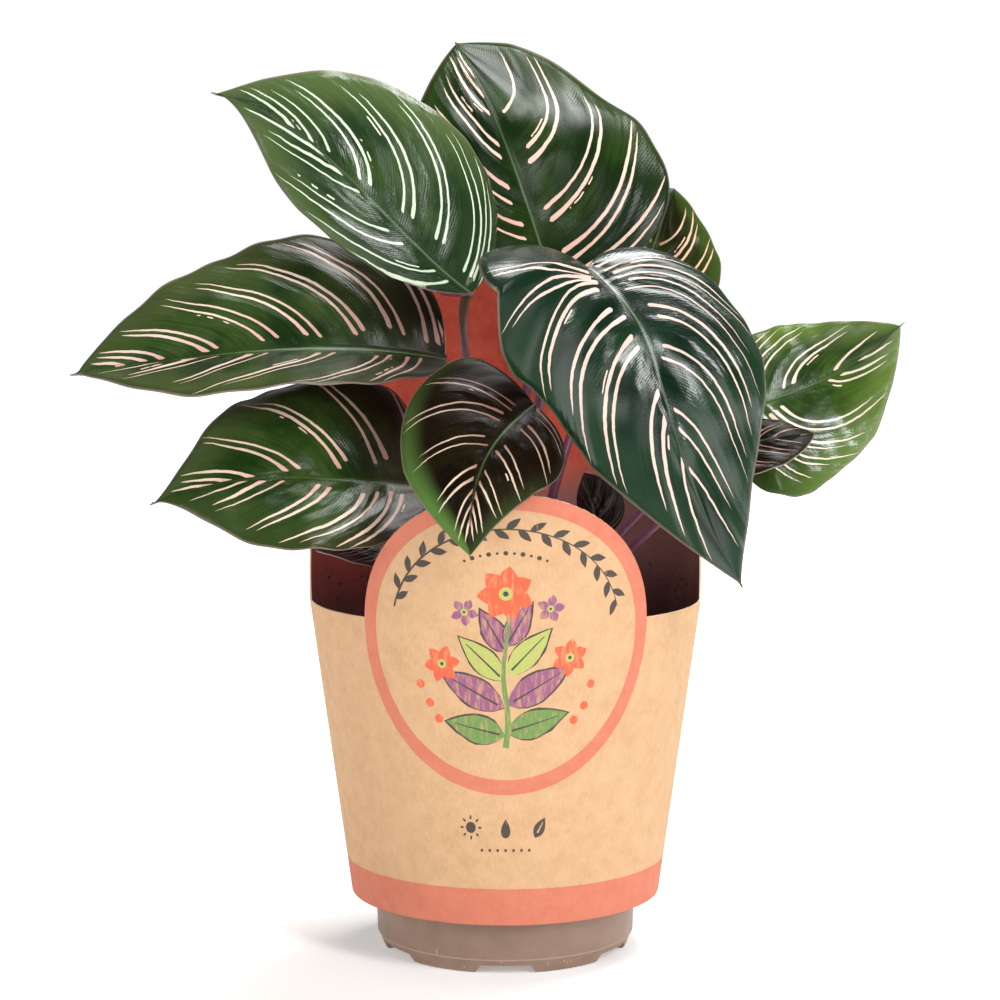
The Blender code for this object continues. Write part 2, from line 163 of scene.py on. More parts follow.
# %% [markdown]
# ## Camera, light and floor
# The photograph was taken from just above the leaves with a long lens, so nothing looks stretched.
# A tall soft box stands to the right and shows as long glints on the leaves, a broad one fills in from
# the left, and one hangs overhead, as in a product studio. The backdrop is white to the eye, but the
# room gives only a dim light of its own, so that dark leaves keep their depth instead of mirroring
# white all round. The floor is plain paper. It glows more and more away from the pot, so that only the
# soft shadow near the pot is left and no edge shows where the floor ends.

# %% Camera
CAMERA_PLACE = (-1.8 * MM, -860 * MM, 241.1 * MM)
CAMERA_DOWN = 6
LENS = 92.88

camera_data = bpy.data.cameras.new("camera")
camera_data.lens = LENS
camera = add_object("camera", camera_data)
camera.location = CAMERA_PLACE
camera.rotation_euler = (math.radians(90 - CAMERA_DOWN), 0, 0)
bpy.context.scene.camera = camera
print("camera looks down by", CAMERA_DOWN, "degrees")

# %% Lights, room and floor
SOFT_BOXES = {
    "key": dict(place=(0.71, -0.92, 0.83), size=(0.26, 0.85), watts=12),
    "fill": dict(place=(-1.0, -0.75, 0.55), size=(0.8, 0.8), watts=5),
    "top": dict(place=(0.3, 0.3, 1.2), size=(0.7, 0.7), watts=17),
}
AIM = Vector((0, 0, 0.16))
ROOM_GLOW = 0.24
FLOOR_REACH = 6
FLOOR_GLOW = (0.28, 1.0)
GLOWS_BEHIND = (0.05, 0.8)
GLOWS_AWAY = (0.9, 2.4)

for name, box in SOFT_BOXES.items():
    data = bpy.data.lights.new(name, "AREA")
    data.shape = "RECTANGLE"
    data.size, data.size_y = box["size"]
    data.energy = box["watts"]
    lamp = add_object(name, data)
    lamp.location = box["place"]
    lamp.rotation_euler = (AIM - lamp.location).to_track_quat("-Z", "Y").to_euler()

world = bpy.data.worlds.new("white_room")
world.use_nodes = True
tree = world.node_tree
seen = node(tree, "ShaderNodeLightPath", out="Is Camera Ray")
glow = node(tree, RANGE, seen, 0.0, 1.0, ROOM_GLOW, 1.0)
tree.nodes["Background"].inputs["Color"].default_value = (1, 1, 1, 1)
tree.links.new(glow, tree.nodes["Background"].inputs["Strength"])
bpy.context.scene.world = world
bpy.context.scene.view_settings.view_transform = "Standard"

floor_mesh = bpy.data.meshes.new("floor")
corners = [(x * FLOOR_REACH, y * FLOOR_REACH, 0) for x, y in ((-1, -1), (1, -1), (1, 1), (-1, 1))]
floor_mesh.from_pydata(corners, [], [(0, 1, 2, 3)])
floor = add_object("floor", floor_mesh)
paper, tree, shader = new_material("white_paper")
place = node(tree, "ShaderNodeTexCoord", out="Object")
behind = node(tree, "ShaderNodeSeparateXYZ", place).node.outputs["Y"]
away = node(tree, VECTOR, place, operation="LENGTH")
lit = node(tree, MATH, node(tree, RANGE, behind, *GLOWS_BEHIND, *FLOOR_GLOW),
           node(tree, RANGE, away, *GLOWS_AWAY, *FLOOR_GLOW), operation="MAXIMUM")
feed(shader, base_color=linear("#FAFAFA"), roughness=0.9, emission_color=(1, 1, 1, 1),
     emission_strength=lit)
floor_mesh.materials.append(paper)
print("lights:", ", ".join(SOFT_BOXES))

# %% [markdown]
# ## The leaves, one by one
# Every leaf follows one rule: a midrib bends through four points, and each half of the blade spreads
# from it along side veins that sweep forward to the margin. The table repeats the solids' values in
# millimetres, and adds how each leaf is coloured. Values that differ between the halves hold left and
# right, seen from above with the tip ahead. pairs: for each pair of pinstripes, the side vein that it
# starts on and the side vein that it ends on, as shares from 0 at the joint to 1 at the tip. gap and
# line: how far the two lines of a pair lie apart and half the width of a line, in millimetres.
# sheen: how much light the cuticle throws back, less on leaves that stand in the shade of others.
# cup and rolled: degrees that a half is cupped at its base and its rim rolls back. drawn: how far the
# tip is drawn out. waxing: picks the pattern of the wax. dull_base: how much duller the base is.
# margin_from: how far out the margin's colour starts. shade: the colour of a base in the shadow of
# other leaves, as painted shade, and how far it reaches. stripe_foot: the stripes' colour near the
# midrib, pinker on most leaves and dimmed with painted shade on the shaded ones. What a leaf doesn't
# say is as in USUAL.

# %% Leaf table
USUAL = dict(cup=(0, 0), rolled=(0, 0), drawn=0.012, sheen=0.28, waxing=0.5, dull_base=0.0,
             margin_from=0.64, rib_colour="#5C7348")
YOUNG_PAIRS = [(0.15, 0.2), (0.35, 0.38), (0.55, 0.55), (0.75, 0.72)]
LEAVES = [
    dict(name="top_left", rib=[(-11, -12, 220), (-36, -22, 243), (-62, -24, 268), (-94, -10, 285)],
         face=[(0.1, -0.85, 0.5), (0, -0.9, 0.42), (0, -0.9, 0.42)], half=(19, 40), fold=(0, 6),
         curl=(-15, -20), widest=(0.55, 0.37), base=(1.0, 0.5), taper=(2.0, 2.3),
         tip=(1.6, 1.05), lobe=(0, 0.1), wave=(0.8, 2.5), foot=(-2, -1), bow=(75, 28),
         slot="leaf_pale", deep="#22381C", light="#384E2A", margin="#55673A", stripe="#DDEBD0",
         pairs=[[(0.18, 0.31), (0.37, 0.46), (0.575, 0.605), (0.74, 0.77)],
                [(0.03, 0.18), (0.08, 0.3), (0.255, 0.39), (0.39, 0.505), (0.55, 0.64), (0.7, 0.725),
                 (0.82, 0.81)]],
         gap=3.6, line=(0.45, 0.48), drawn=0.02),
    dict(name="top", rib=[(17, 13, 220), (5, 12, 256), (-5, 23, 282), (-17, 48, 305)],
         face=[(0.1, -0.9, 0.35), (0.2, -0.8, 0.6), (0, -0.3, 0.9)], half=(33, 54.5), fold=(8, 5),
         curl=(-20, -15), widest=(0.42, 0.36), base=(0.5, 0.42), taper=(2.0, 2.4),
         tip=(0.9, 0.6), lobe=(0, 0.04), wave=(3.2, 0.9), foot=(1, 7), bow=(80, 40),
         slot="leaf", deep="#12240F", light="#243812", margin="#2C3E18", stripe="#E6CAB8", sheen=0.12,
         pairs=[[(0.12, 0.18), (0.25, 0.36), (0.37, 0.55), (0.535, 0.69), (0.73, 0.83), (0.9, 0.94)],
                [(0.03, 0.115), (0.125, 0.32), (0.285, 0.53), (0.5, 0.71), (0.71, 0.84)]],
         gap=4.4, line=(0.55, 0.62), stripe_foot="#F0BFAE"),
    dict(name="behind_top", rib=[(39, 24, 206), (48, 30, 227), (54, 37, 243), (59, 46, 255)],
         face=[(0.3, -0.7, 0.6), (0.3, -0.7, 0.6), (0.3, -0.6, 0.7)], half=(26, 27),
         fold=(10, 10), curl=(-20, -30), widest=(0.42, 0.42), base=(0.5, 0.5), taper=(2.0, 2.0),
         tip=(0.8, 0.8), lobe=(0, 0), wave=(0.8, 2.0), foot=(8, 5), bow=(60, 40),
         slot="leaf", deep="#1A1E06", light="#2C320E", margin="#3E5220", stripe="#DDB79B",
         pairs=[[(0.15, 0.3), (0.35, 0.5), (0.55, 0.7), (0.75, 0.84)],
                [(0.1, 0.25), (0.25, 0.47), (0.42, 0.66), (0.62, 0.8)]],
         gap=3.4, line=(0.5, 0.5), stripe_foot="#9A7A62", sheen=0.08),
    dict(name="mid_left", rib=[(-20, -2, 198), (-59, -14, 202), (-97, -22, 200), (-140, -16, 194)],
         face=[(-0.1, -0.6, 0.8), (-0.1, -0.5, 0.8), (-0.1, -0.6, 0.8)], half=(38, 46),
         fold=(20, 32), curl=(-5, -15), widest=(0.42, 0.33), base=(0.5, 0.5), taper=(2.2, 1.9),
         tip=(1.2, 0.6), lobe=(0, 0), wave=(1.0, 2.5), foot=(-7, 7), bow=(60, 35),
         slot="leaf", deep="#1A3012", light="#34491F", margin="#424E26", stripe="#E8CBBC",
         shade=("#2B2318", 0.4), dull_base=0.2, sheen=0.22,
         pairs=[[(0.145, 0.14), (0.245, 0.25), (0.41, 0.42), (0.59, 0.515), (0.72, 0.66), (0.88, 0.82)],
                [(0.07, 0.11), (0.185, 0.225), (0.3, 0.37), (0.435, 0.485), (0.55, 0.585), (0.705, 0.73),
                 (0.84, 0.85), (0.93, 0.93)]],
         gap=3.5, line=(0.54, 0.58), rib_colour="#5E7A34", drawn=0.02, stripe_foot="#D3A296"),
    dict(name="lower_left", rib=[(-25, -30, 158), (-53, -45, 162), (-81, -56, 163), (-110, -56, 156)],
         face=[(-0.1, -0.7, 0.6), (-0.1, -0.7, 0.6), (-0.1, -0.7, 0.6)], half=(29, 49),
         fold=(6, 14), curl=(-8, -25), widest=(0.5, 0.28), base=(0.6, 0.5), taper=(2.2, 2.0),
         tip=(1.5, 1.15), lobe=(0, 0.08), wave=(1.0, 2.5), rolled=(0, 10), foot=(-9, -9), bow=(30, 30),
         slot="leaf", deep="#1A3312", light="#33491C", margin=("#36461F", "#47572E"), stripe="#E8CDBA",
         shade=("#33211A", 0.42), dull_base=0.2, sheen=0.22,
         pairs=[[(0.19, 0.21), (0.295, 0.355), (0.465, 0.46), (0.635, 0.59), (0.76, 0.71)],
                [(0.05, 0.08), (0.23, 0.26), (0.38, 0.38), (0.56, 0.545), (0.745, 0.72), (0.88, 0.86)]],
         gap=3.8, line=(0.56, 0.62), rib_colour="#48602C", drawn=0.02, stripe_foot="#DDAA9A"),
    # Painted shade: this leaf hangs under others, so its greens are painted near brown-black and its stripe
    # feet dim, and the right half's margin is painted lighter where light reaches it
    dict(name="small_front", rib=[(9, -48, 186), (-2, -66, 177), (-9, -78, 164), (-11, -80, 142)],
         face=[(0.4, -0.6, 0.6), (0.1, -0.75, 0.65), (0, -0.9, 0.3)], half=(22, 31.5),
         fold=(10, 8), curl=(-25, -25), widest=(0.42, 0.38), base=(0.5, 0.5), taper=(1.6, 1.8),
         tip=(0.9, 1.0), lobe=(0.05, 0.13), wave=(0.6, 2.0), foot=(0, -11), bow=(50, 35),
         slot="leaf_shade", deep="#140E08", light="#241F10", margin=("#33401F", "#60853F"),
         margin_from=0.8, stripe="#E2C8B0", shade=("#1A0F09", 0.6),
         pairs=[[(0.08, 0.13), (0.245, 0.27), (0.47, 0.425), (0.675, 0.575), (0.8, 0.74), (0.91, 0.87)],
                [(0.18, 0.18), (0.285, 0.305), (0.47, 0.415), (0.66, 0.585), (0.79, 0.74), (0.91, 0.87)]],
         gap=3.0, line=(0.4, 0.4), stripe_foot="#8E5E52", sheen=0.04),
    dict(name="large_front", rib=[(26, -48, 229), (44, -62, 206), (53, -66, 176), (74, -56, 130)],
         face=[(0.2, -0.6, 0.75), (0.1, -0.85, 0.45), (0.1, -0.9, 0.3)], half=(36, 48.5),
         fold=(6, 8), curl=(-25, -38), cup=(4, 28), widest=(0.46, 0.3), base=(0.5, 1.0),
         taper=(2.5, 1.35), tip=(1.0, 1.0), lobe=(0.1, 0.29), wave=(1.0, 2.5), foot=(7, -4),
         bow=(80, 40), slot="leaf", deep="#0B2114", light="#17341D", margin="#1B3620", stripe="#E4C8BA",
         sheen=0.5, waxing=1.3,
         pairs=[[(0.06, 0.12), (0.115, 0.235), (0.16, 0.395), (0.29, 0.5), (0.455, 0.585), (0.665, 0.7),
                 (0.82, 0.8)],
                [(0.1, 0.11), (0.12, 0.18), (0.14, 0.325), (0.27, 0.39), (0.39, 0.475), (0.61, 0.635),
                 (0.81, 0.77)]],
         gap=4.0, line=(0.43, 0.62), stripe_foot="#F0C8BC"),
    dict(name="right", rib=[(76, -2, 180), (94, 2, 186), (111, 4, 193), (131, -2, 209)],
         face=[(0.1, -0.8, 0.6), (0.1, -0.85, 0.5), (0.1, -0.85, 0.5)], half=(26, 35),
         fold=(8, 8), curl=(-20, -25), widest=(0.3, 0.36), base=(0.4, 0.5), taper=(2.4, 1.6),
         tip=(0.8, 0.9), lobe=(0, 0.2), wave=(0.8, 2.5), foot=(15, 2), bow=(45, 30),
         slot="leaf_pale", deep="#233A14", light="#45601F", margin="#667E3A", stripe="#F0DDC8",
         pairs=[[(0.12, 0.27), (0.22, 0.42), (0.44, 0.63), (0.75, 0.84)],
                [(0.05, 0.26), (0.15, 0.35), (0.23, 0.43), (0.31, 0.59), (0.7, 0.74), (0.88, 0.87)]],
         gap=3.2, line=(0.48, 0.48), drawn=0.02, sheen=0.5),
    # Painted shade: this leaf lies in the shade of others, so its greens and stripes are painted near black
    dict(name="tip_right", rib=[(60, -22, 165), (74, -26, 170), (87, -28, 174), (100, -26, 175)],
         face=[(0.1, -0.5, 0.8), (0.1, -0.5, 0.8), (0.1, -0.5, 0.8)], half=(13, 15), fold=(5, 5),
         curl=(-15, -15), widest=(0.42, 0.42), base=(0.5, 0.5), taper=(2.0, 2.0),
         tip=(0.8, 0.8), lobe=(0, 0), wave=(0.4, 2.0), foot=(14, -6), bow=(40, 25),
         slot="leaf_shade", deep="#100E08", light="#1A1610", margin="#241E14", stripe="#A08474",
         pairs=[YOUNG_PAIRS, YOUNG_PAIRS], gap=2.4, line=(0.36, 0.36), stripe_foot="#8A6259", sheen=0.06),
    # Painted shade: the two inner leaves lie deep inside the sleeve, so their colours are painted near black
    dict(name="inner_left", rib=[(-30, -17, 134), (-41, -22, 137), (-51, -25, 138), (-61.5, -26, 137)],
         face=[(-0.1, -0.4, 0.9), (-0.1, -0.4, 0.9), (-0.1, -0.4, 0.9)], half=(8, 13),
         fold=(-10, 5), curl=(-15, -15), widest=(0.42, 0.42), base=(0.5, 0.5), taper=(2.0, 2.0),
         tip=(1.0, 1.0), lobe=(0, 0), wave=(0.3, 1.5), foot=(-15, -3), bow=(25, 15),
         slot="leaf_shade", deep="#1C1010", light="#2A1C18", margin="#4A3230", stripe="#8A6A62",
         pairs=[YOUNG_PAIRS, YOUNG_PAIRS], gap=1.8, line=(0.36, 0.36), sheen=0.1),
    dict(name="inner_right", rib=[(31, -24, 141), (29, -27, 148), (27, -30, 156), (25.5, -33, 163)],
         face=[(0.1, -0.9, 0.1), (0.1, -0.9, 0.1), (0.1, -0.9, 0.1)], half=(5, 11), fold=(5, 5),
         curl=(-15, -15), widest=(0.42, 0.42), base=(0.5, 0.5), taper=(2.0, 2.0),
         tip=(1.0, 1.0), lobe=(0, 0), wave=(0.3, 1.5), foot=(8, -13), bow=(20, 15),
         slot="leaf_shade", deep="#181010", light="#221A16", margin="#3A2828", stripe="#4A3630",
         pairs=[YOUNG_PAIRS, YOUNG_PAIRS], gap=1.6, line=(0.36, 0.36), sheen=0.1),
]
LEAVES = [USUAL | leaf for leaf in LEAVES]
print("leaves:", len(LEAVES))

# %% [markdown]
# ## Bending a flat pattern into a blade
# A leaf could be sculpted, but eleven leaves with the same build are better made by rule. The base is a
# flat grid: one direction counts how far along the midrib a side vein starts, the other how far out on
# it a point lies. A Geometry Nodes tree then sets every point's place, from the midrib's cubic, the
# outline of each half, the fold at the midrib, the curl of the margin and low pleats between the veins.
# The grid also carries a count of stripe pairs, so that pleats and stripes later follow the same veins.
# The first step finds where each side vein ends on the margin, and how it gets there.

# %% Margin and side veins
HALF_SIZES = ("Half Width", "Fold", "Curl", "Cup", "Widest", "Base", "Taper", "Tip", "Lobe", "Rolled Rim")
BLADE_INPUTS = {name: "Vector" for name in ("Rib Start", "Rib Slope", "Rib Bend", "Rib Twist",
                                            "Face Start", "Face Turn", "Face Bend")}
BLADE_INPUTS.update({f"{side} {name}": "Float" for side in ("Left", "Right") for name in HALF_SIZES})
BLADE_INPUTS.update({"Wave Height": "Float", "Waves": "Float", "Ripple Height": "Float",
                     "Pleat Height": "Float", "Tip Drawn Out": "Float", "Skin": "Material"})
CROWDING = 2.2
LOBE_REACH = 0.4
VEIN_START = 1.3
SWEEP_BEND = 0.6
SWEEP_STRAIGHT = 0.4
TIP_SHARPNESS = 70.0


def blade_margin(t, share, half):
    """Where along the rib each side vein ends, and how wide the blade is there."""
    left_over = node(t, MATH, 1.0, share, operation="SUBTRACT")
    ends = node(t, MATH, 1.0, node(t, MATH, left_over, CROWDING, operation="POWER"),
                operation="SUBTRACT")
    to_widest = node(t, MATH, ends, half["Widest"], operation="DIVIDE")
    short_of = node(t, MATH, 1.0, to_widest, operation="SUBTRACT", use_clamp=True)
    rounding = node(t, MATH, 1.0, node(t, MATH, short_of, CROWDING, operation="POWER"),
                    operation="SUBTRACT")
    base = node(t, MATH, rounding, half["Base"], operation="POWER")
    past = node(t, MATH, ends, half["Widest"], operation="SUBTRACT")
    room = node(t, MATH, 1.0, half["Widest"], operation="SUBTRACT")
    beyond = node(t, MATH, past, room, operation="DIVIDE", use_clamp=True)
    narrowing = node(t, MATH, 1.0, node(t, MATH, beyond, half["Taper"], operation="POWER"),
                     operation="SUBTRACT", use_clamp=True)
    width = node(t, MATH, base, node(t, MATH, narrowing, half["Tip"], operation="POWER"),
                 operation="MULTIPLY")
    lobe_share = node(t, MATH, share, LOBE_REACH, operation="DIVIDE", use_clamp=True)
    lobe_turn = node(t, MATH, node(t, MATH, lobe_share, operation="SQRT"), math.pi, operation="MULTIPLY")
    lobe = node(t, MATH, node(t, MATH, lobe_turn, operation="SINE"), half["Lobe"], operation="MULTIPLY")
    return node(t, MATH, ends, lobe, operation="SUBTRACT"), width


def vein_course(t, share, out, margin, drawn_out):
    """How far along the rib a point lies: its vein leaves the rib, then sweeps forward to the margin."""
    start = node(t, MATH, share, VEIN_START, operation="POWER")
    squared = node(t, MATH, out, out, operation="MULTIPLY")
    sweep = node(t, MATH, squared, SWEEP_BEND, SWEEP_STRAIGHT, operation="MULTIPLY_ADD")
    sweep = node(t, MATH, sweep, out, operation="MULTIPLY")
    along = node(t, MATH, node(t, MATH, margin, start, operation="SUBTRACT"), sweep, start,
                 operation="MULTIPLY_ADD")
    drawn = node(t, MATH, share, TIP_SHARPNESS, operation="POWER")
    return node(t, MATH, drawn, drawn_out, along, operation="MULTIPLY_ADD")


print("inputs of the blade's tree:", len(BLADE_INPUTS))

# %% [markdown]
# ## Midrib, fold and waves
# The midrib is a cubic in three dimensions. At every point of it the tree needs three directions, as a
# carpenter would for a curved rail: ahead along the rib, up out of the blade and across it. Each half
# then leaves the rib at an angle, which is the sum of the leaf's fold, a cup at the base, the curl of
# the margin and, on one leaf, a rolled rim. A living margin is also never flat: it waves, and low
# pleats lie between the stripes.

# %% Rib, fold and relief
FOLD_AT_JOINT = 1.15
FOLD_LOSS = -0.5
CUP_REACH = 0.45
CURL_SHARE = 0.6
ROLL_LIFT = 0.6
ROLL_DROP = -1.5
ROLL_FROM = 0.78
RIPPLES_PER_WAVE = 2.7
RIPPLE_SHIFT = 1.9
PLEATS_FROM = 0.2
PLEATS_TO = 0.7
PLEAT_AT_MARGIN = 0.15


def rib_frame(t, given, along):
    """The rib's point, the directions across and up, and how far along this is, from 0 to 1."""
    ahead_share = node(t, MATH, along, 0.0, operation="MAXIMUM")
    clamped = node(t, MATH, ahead_share, 1.0, operation="MINIMUM")
    bend = node(t, VECTOR, given["Rib Twist"], ahead_share, operation="SCALE")
    bend = node(t, VECTOR, bend, given["Rib Bend"], operation="ADD")
    bend = node(t, VECTOR, bend, ahead_share, operation="SCALE")
    bend = node(t, VECTOR, bend, given["Rib Slope"], operation="ADD")
    rib = node(t, VECTOR, node(t, VECTOR, bend, along, operation="SCALE"), given["Rib Start"],
               operation="ADD")
    slope = node(t, VECTOR, given["Rib Twist"], node(t, MATH, clamped, 3.0, operation="MULTIPLY"),
                 operation="SCALE")
    slope = node(t, VECTOR, slope, node(t, VECTOR, given["Rib Bend"], 2.0, operation="SCALE"),
                 operation="ADD")
    slope = node(t, VECTOR, node(t, VECTOR, slope, clamped, operation="SCALE"), given["Rib Slope"],
                 operation="ADD")
    ahead = node(t, VECTOR, slope, operation="NORMALIZE")
    face = node(t, VECTOR, node(t, VECTOR, given["Face Bend"], clamped, operation="SCALE"),
                given["Face Turn"], operation="ADD")
    face = node(t, VECTOR, node(t, VECTOR, face, clamped, operation="SCALE"), given["Face Start"],
                operation="ADD")
    lean = node(t, VECTOR, face, ahead, operation="PROJECT")
    up = node(t, VECTOR, node(t, VECTOR, face, lean, operation="SUBTRACT"), operation="NORMALIZE")
    return rib, node(t, VECTOR, ahead, up, operation="CROSS_PRODUCT"), up, clamped


def half_angle(t, half, share, out, clamped):
    """How steeply a half of the blade stands here, in radians."""
    squared = node(t, MATH, out, out, operation="MULTIPLY")
    opening = node(t, MATH, clamped, FOLD_LOSS, FOLD_AT_JOINT, operation="MULTIPLY_ADD")
    curling = node(t, MATH, node(t, MATH, out, 2.0, operation="POWER"), CURL_SHARE,
                   operation="MULTIPLY")
    angle = node(t, MATH, half["Fold"], opening, operation="MULTIPLY")
    near_base = node(t, MATH, clamped, -1 / CUP_REACH, 1.0, operation="MULTIPLY_ADD", use_clamp=True)
    angle = node(t, MATH, half["Cup"], node(t, MATH, near_base, 2.0, operation="POWER"), angle,
                 operation="MULTIPLY_ADD")
    angle = node(t, MATH, half["Curl"], curling, angle, operation="MULTIPLY_ADD")
    rolled = node(t, RANGE, out, ROLL_FROM, 1.0, 0.0, ROLL_DROP, interpolation_type="SMOOTHSTEP")
    rolled = node(t, MATH, squared, ROLL_LIFT, rolled, operation="MULTIPLY_ADD")
    here = node(t, RANGE, share, 0.03, 0.14, 0.0, 1.0, interpolation_type="SMOOTHSTEP")
    there = node(t, RANGE, share, 0.45, 0.25, 0.0, 1.0, interpolation_type="SMOOTHSTEP")
    rolled = node(t, MATH, rolled, node(t, MATH, here, there, operation="MULTIPLY"),
                  operation="MULTIPLY")
    angle = node(t, MATH, half["Rolled Rim"], rolled, angle, operation="MULTIPLY_ADD")
    return node(t, MATH, angle, operation="RADIANS")


def blade_relief(t, given, out, along, width, on_right):
    """Waves along the margin and pleats between the stripes, as a height above the half."""
    quarter = node(t, MATH, on_right, 0.25, operation="MULTIPLY")
    turns = node(t, MATH, given["Waves"], along, quarter, operation="MULTIPLY_ADD")
    wave = node(t, MATH, node(t, MATH, turns, math.tau, operation="MULTIPLY"), operation="SINE")
    ripple = node(t, MATH, turns, math.tau * RIPPLES_PER_WAVE,
                  node(t, MATH, on_right, RIPPLE_SHIFT, operation="MULTIPLY"), operation="MULTIPLY_ADD")
    ripple = node(t, MATH, node(t, MATH, ripple, operation="SINE"), given["Ripple Height"],
                  operation="MULTIPLY")
    wave = node(t, MATH, wave, given["Wave Height"], ripple, operation="MULTIPLY_ADD")
    wave = node(t, MATH, wave, node(t, MATH, out, 3.0, operation="POWER"), operation="MULTIPLY")
    grip = node(t, MATH, width, 3.0, operation="MULTIPLY", use_clamp=True)
    wave = node(t, MATH, wave, grip, operation="MULTIPLY")
    pair = node(t, "GeometryNodeInputNamedAttribute", "pair", data_type="FLOAT")
    pleat = node(t, MATH, node(t, MATH, pair, math.tau, operation="MULTIPLY"), operation="COSINE")
    hold = node(t, RANGE, out, 0.0, PLEATS_FROM, 0.0, 1.0, interpolation_type="SMOOTHSTEP")
    free = node(t, RANGE, out, 1.0, PLEATS_TO, PLEAT_AT_MARGIN, 1.0, interpolation_type="SMOOTHSTEP")
    pleat = node(t, MATH, node(t, MATH, pleat, hold, operation="MULTIPLY"),
                 node(t, MATH, free, grip, operation="MULTIPLY"), operation="MULTIPLY")
    return node(t, MATH, pleat, given["Pleat Height"], wave, operation="MULTIPLY_ADD")


print("ripples on a wave:", RIPPLES_PER_WAVE)

# %% [markdown]
# ## The blade's tree
# The steps come together here: the flat grid's own coordinates go in, every point gets its place, and
# the coordinates are kept as attributes, because the skin needs them later to find its veins.

# %% Blade tree
def blade_tree():
    t, given = new_tree("calathea_blade", BLADE_INPUTS)
    place = node(t, "GeometryNodeInputPosition")
    split = node(t, "ShaderNodeSeparateXYZ", place).node.outputs
    share, signed = split["X"], split["Y"]
    out = node(t, MATH, signed, operation="ABSOLUTE")
    on_right = node(t, "FunctionNodeCompare", signed, 0.0, operation="GREATER_THAN")
    half = {name: node(t, "GeometryNodeSwitch", on_right, given["Left " + name],
                       given["Right " + name], input_type="FLOAT") for name in HALF_SIZES}
    margin, width = blade_margin(t, share, half)
    along = vein_course(t, share, out, margin, given["Tip Drawn Out"])
    rib, across, up, clamped = rib_frame(t, given, along)
    angle = half_angle(t, half, share, out, clamped)
    relief = blade_relief(t, given, out, along, width, on_right)

    reach = node(t, MATH, node(t, MATH, width, out, operation="MULTIPLY"), half["Half Width"],
                 operation="MULTIPLY")
    rise = node(t, MATH, reach, node(t, MATH, angle, operation="SINE"), relief,
                operation="MULTIPLY_ADD")
    aside = node(t, MATH, reach, node(t, MATH, angle, operation="COSINE"), operation="MULTIPLY")
    aside = node(t, MATH, aside, node(t, MATH, signed, operation="SIGN"), operation="MULTIPLY")
    point = node(t, VECTOR, rib, node(t, VECTOR, across, aside, operation="SCALE"), operation="ADD")
    point = node(t, VECTOR, point, node(t, VECTOR, up, rise, operation="SCALE"), operation="ADD")

    from_rib = node(t, MATH, reach, 1 / MM, operation="MULTIPLY")
    kept = given["Geometry"]
    for name, value in (("out", out), ("along", share), ("from_rib", from_rib)):
        kept = node(t, "GeometryNodeStoreNamedAttribute", kept, True, name, value, data_type="FLOAT",
                    domain="POINT")
    close_tree(t, node(t, "GeometryNodeSetPosition", kept, True, point), given["Skin"])
    return t


BLADE_TREE = blade_tree()
print("nodes in the blade's tree:", len(BLADE_TREE.nodes))

# %% [markdown]
# ## The flat pattern and its stripe pairs
# Calathea ornata has thin pale stripes in pairs, here four to eight of them on each half. A pair is
# numbered by whole numbers, and a point's count tells how far it lies between two pairs. Stripes drift
# from one vein to the next on their way out, so each pair has a vein to start on and one to end on.
# The right half counts from 20 on, so that one number tells the half as well.

# %% Blade pattern
ROWS = 110
STRIPS = 22
RIGHT_COUNT = 20
ROW_CROWDING = 1.6
STRIPE_DRIFT = 2.2
BEFORE_FIRST = -0.4
AFTER_LAST = 1.5


def pair_count(leaf, share, out, side):
    """How many stripe pairs lie before this point: halves mark the middle of a pair."""
    drift = out ** STRIPE_DRIFT
    middles = [foot + (end - foot) * drift for foot, end in leaf["pairs"][side]]
    places = [BEFORE_FIRST] + middles + [AFTER_LAST]
    counts = [0.0] + [index + 0.5 for index in range(len(middles))] + [len(middles) - 0.01]
    return np.interp(share, places, counts) + side * RIGHT_COUNT


def blade_pattern(leaf):
    """Flat grid of rows along the midrib, closed to a point at the joint and at the tip."""
    shares = [(row / ROWS) ** ROW_CROWDING for row in range(1, ROWS)]
    outs = [strip / STRIPS for strip in range(-STRIPS, STRIPS + 1)]
    wide = len(outs)
    points = [(0, 0, 0)] + [(share, out, 0) for share in shares for out in outs] + [(1, 0, 0)]
    last = len(points) - 1
    faces = [(0, 2 + strip, 1 + strip) for strip in range(wide - 1)]
    for row in range(len(shares) - 1):
        low = 1 + row * wide
        faces += [(low + strip, low + strip + 1, low + wide + strip + 1, low + wide + strip)
                  for strip in range(wide - 1)]
    faces += [(last - wide + strip, last - wide + strip + 1, last) for strip in range(wide - 1)]
    mesh = bpy.data.meshes.new("pattern")
    mesh.from_pydata(points, [], faces)
    counts = [pair_count(leaf, x, abs(y), int(y > 0)) for x, y, z in points]
    mesh.attributes.new("pair", "FLOAT", "POINT").data.foreach_set("value", counts)
    return mesh


print("grid of a blade:", ROWS, "by", 2 * STRIPS)

# %% [markdown]
# ## The skin of a leaf
# The upper side of the living leaf is a waxy cuticle over dark green tissue, so it shows soft broad
# highlights that break up over the veins. A picture could carry the stripes, but then they would blur
# up close. Here the shader works them out from the pair count: how far a point lies from the middle of
# its pair, in millimetres, and how far out it lies on the vein. Every line gets its own start, end and
# width from a random number that belongs to it, so no two are alike, and some have a broken line beside.

# %% Stripes
STRIPE_SOFTNESS = 0.1
STRIPE_WOBBLE = 0.55
STRIPE_STARTS = (0.07, 0.18)
STRIPE_ENDS = (0.88, 1.0)
GAP_SPREAD = (0.8, 1.2)
WIDTH_SPREAD = (0.82, 1.18)
CLUB_WIDTH = 1.4
DASH_BESIDE = 1.45
DASH_LENGTH = 0.28
DASH_STARTS = (0.2, 0.6)
WITHOUT_DASH = 0.8


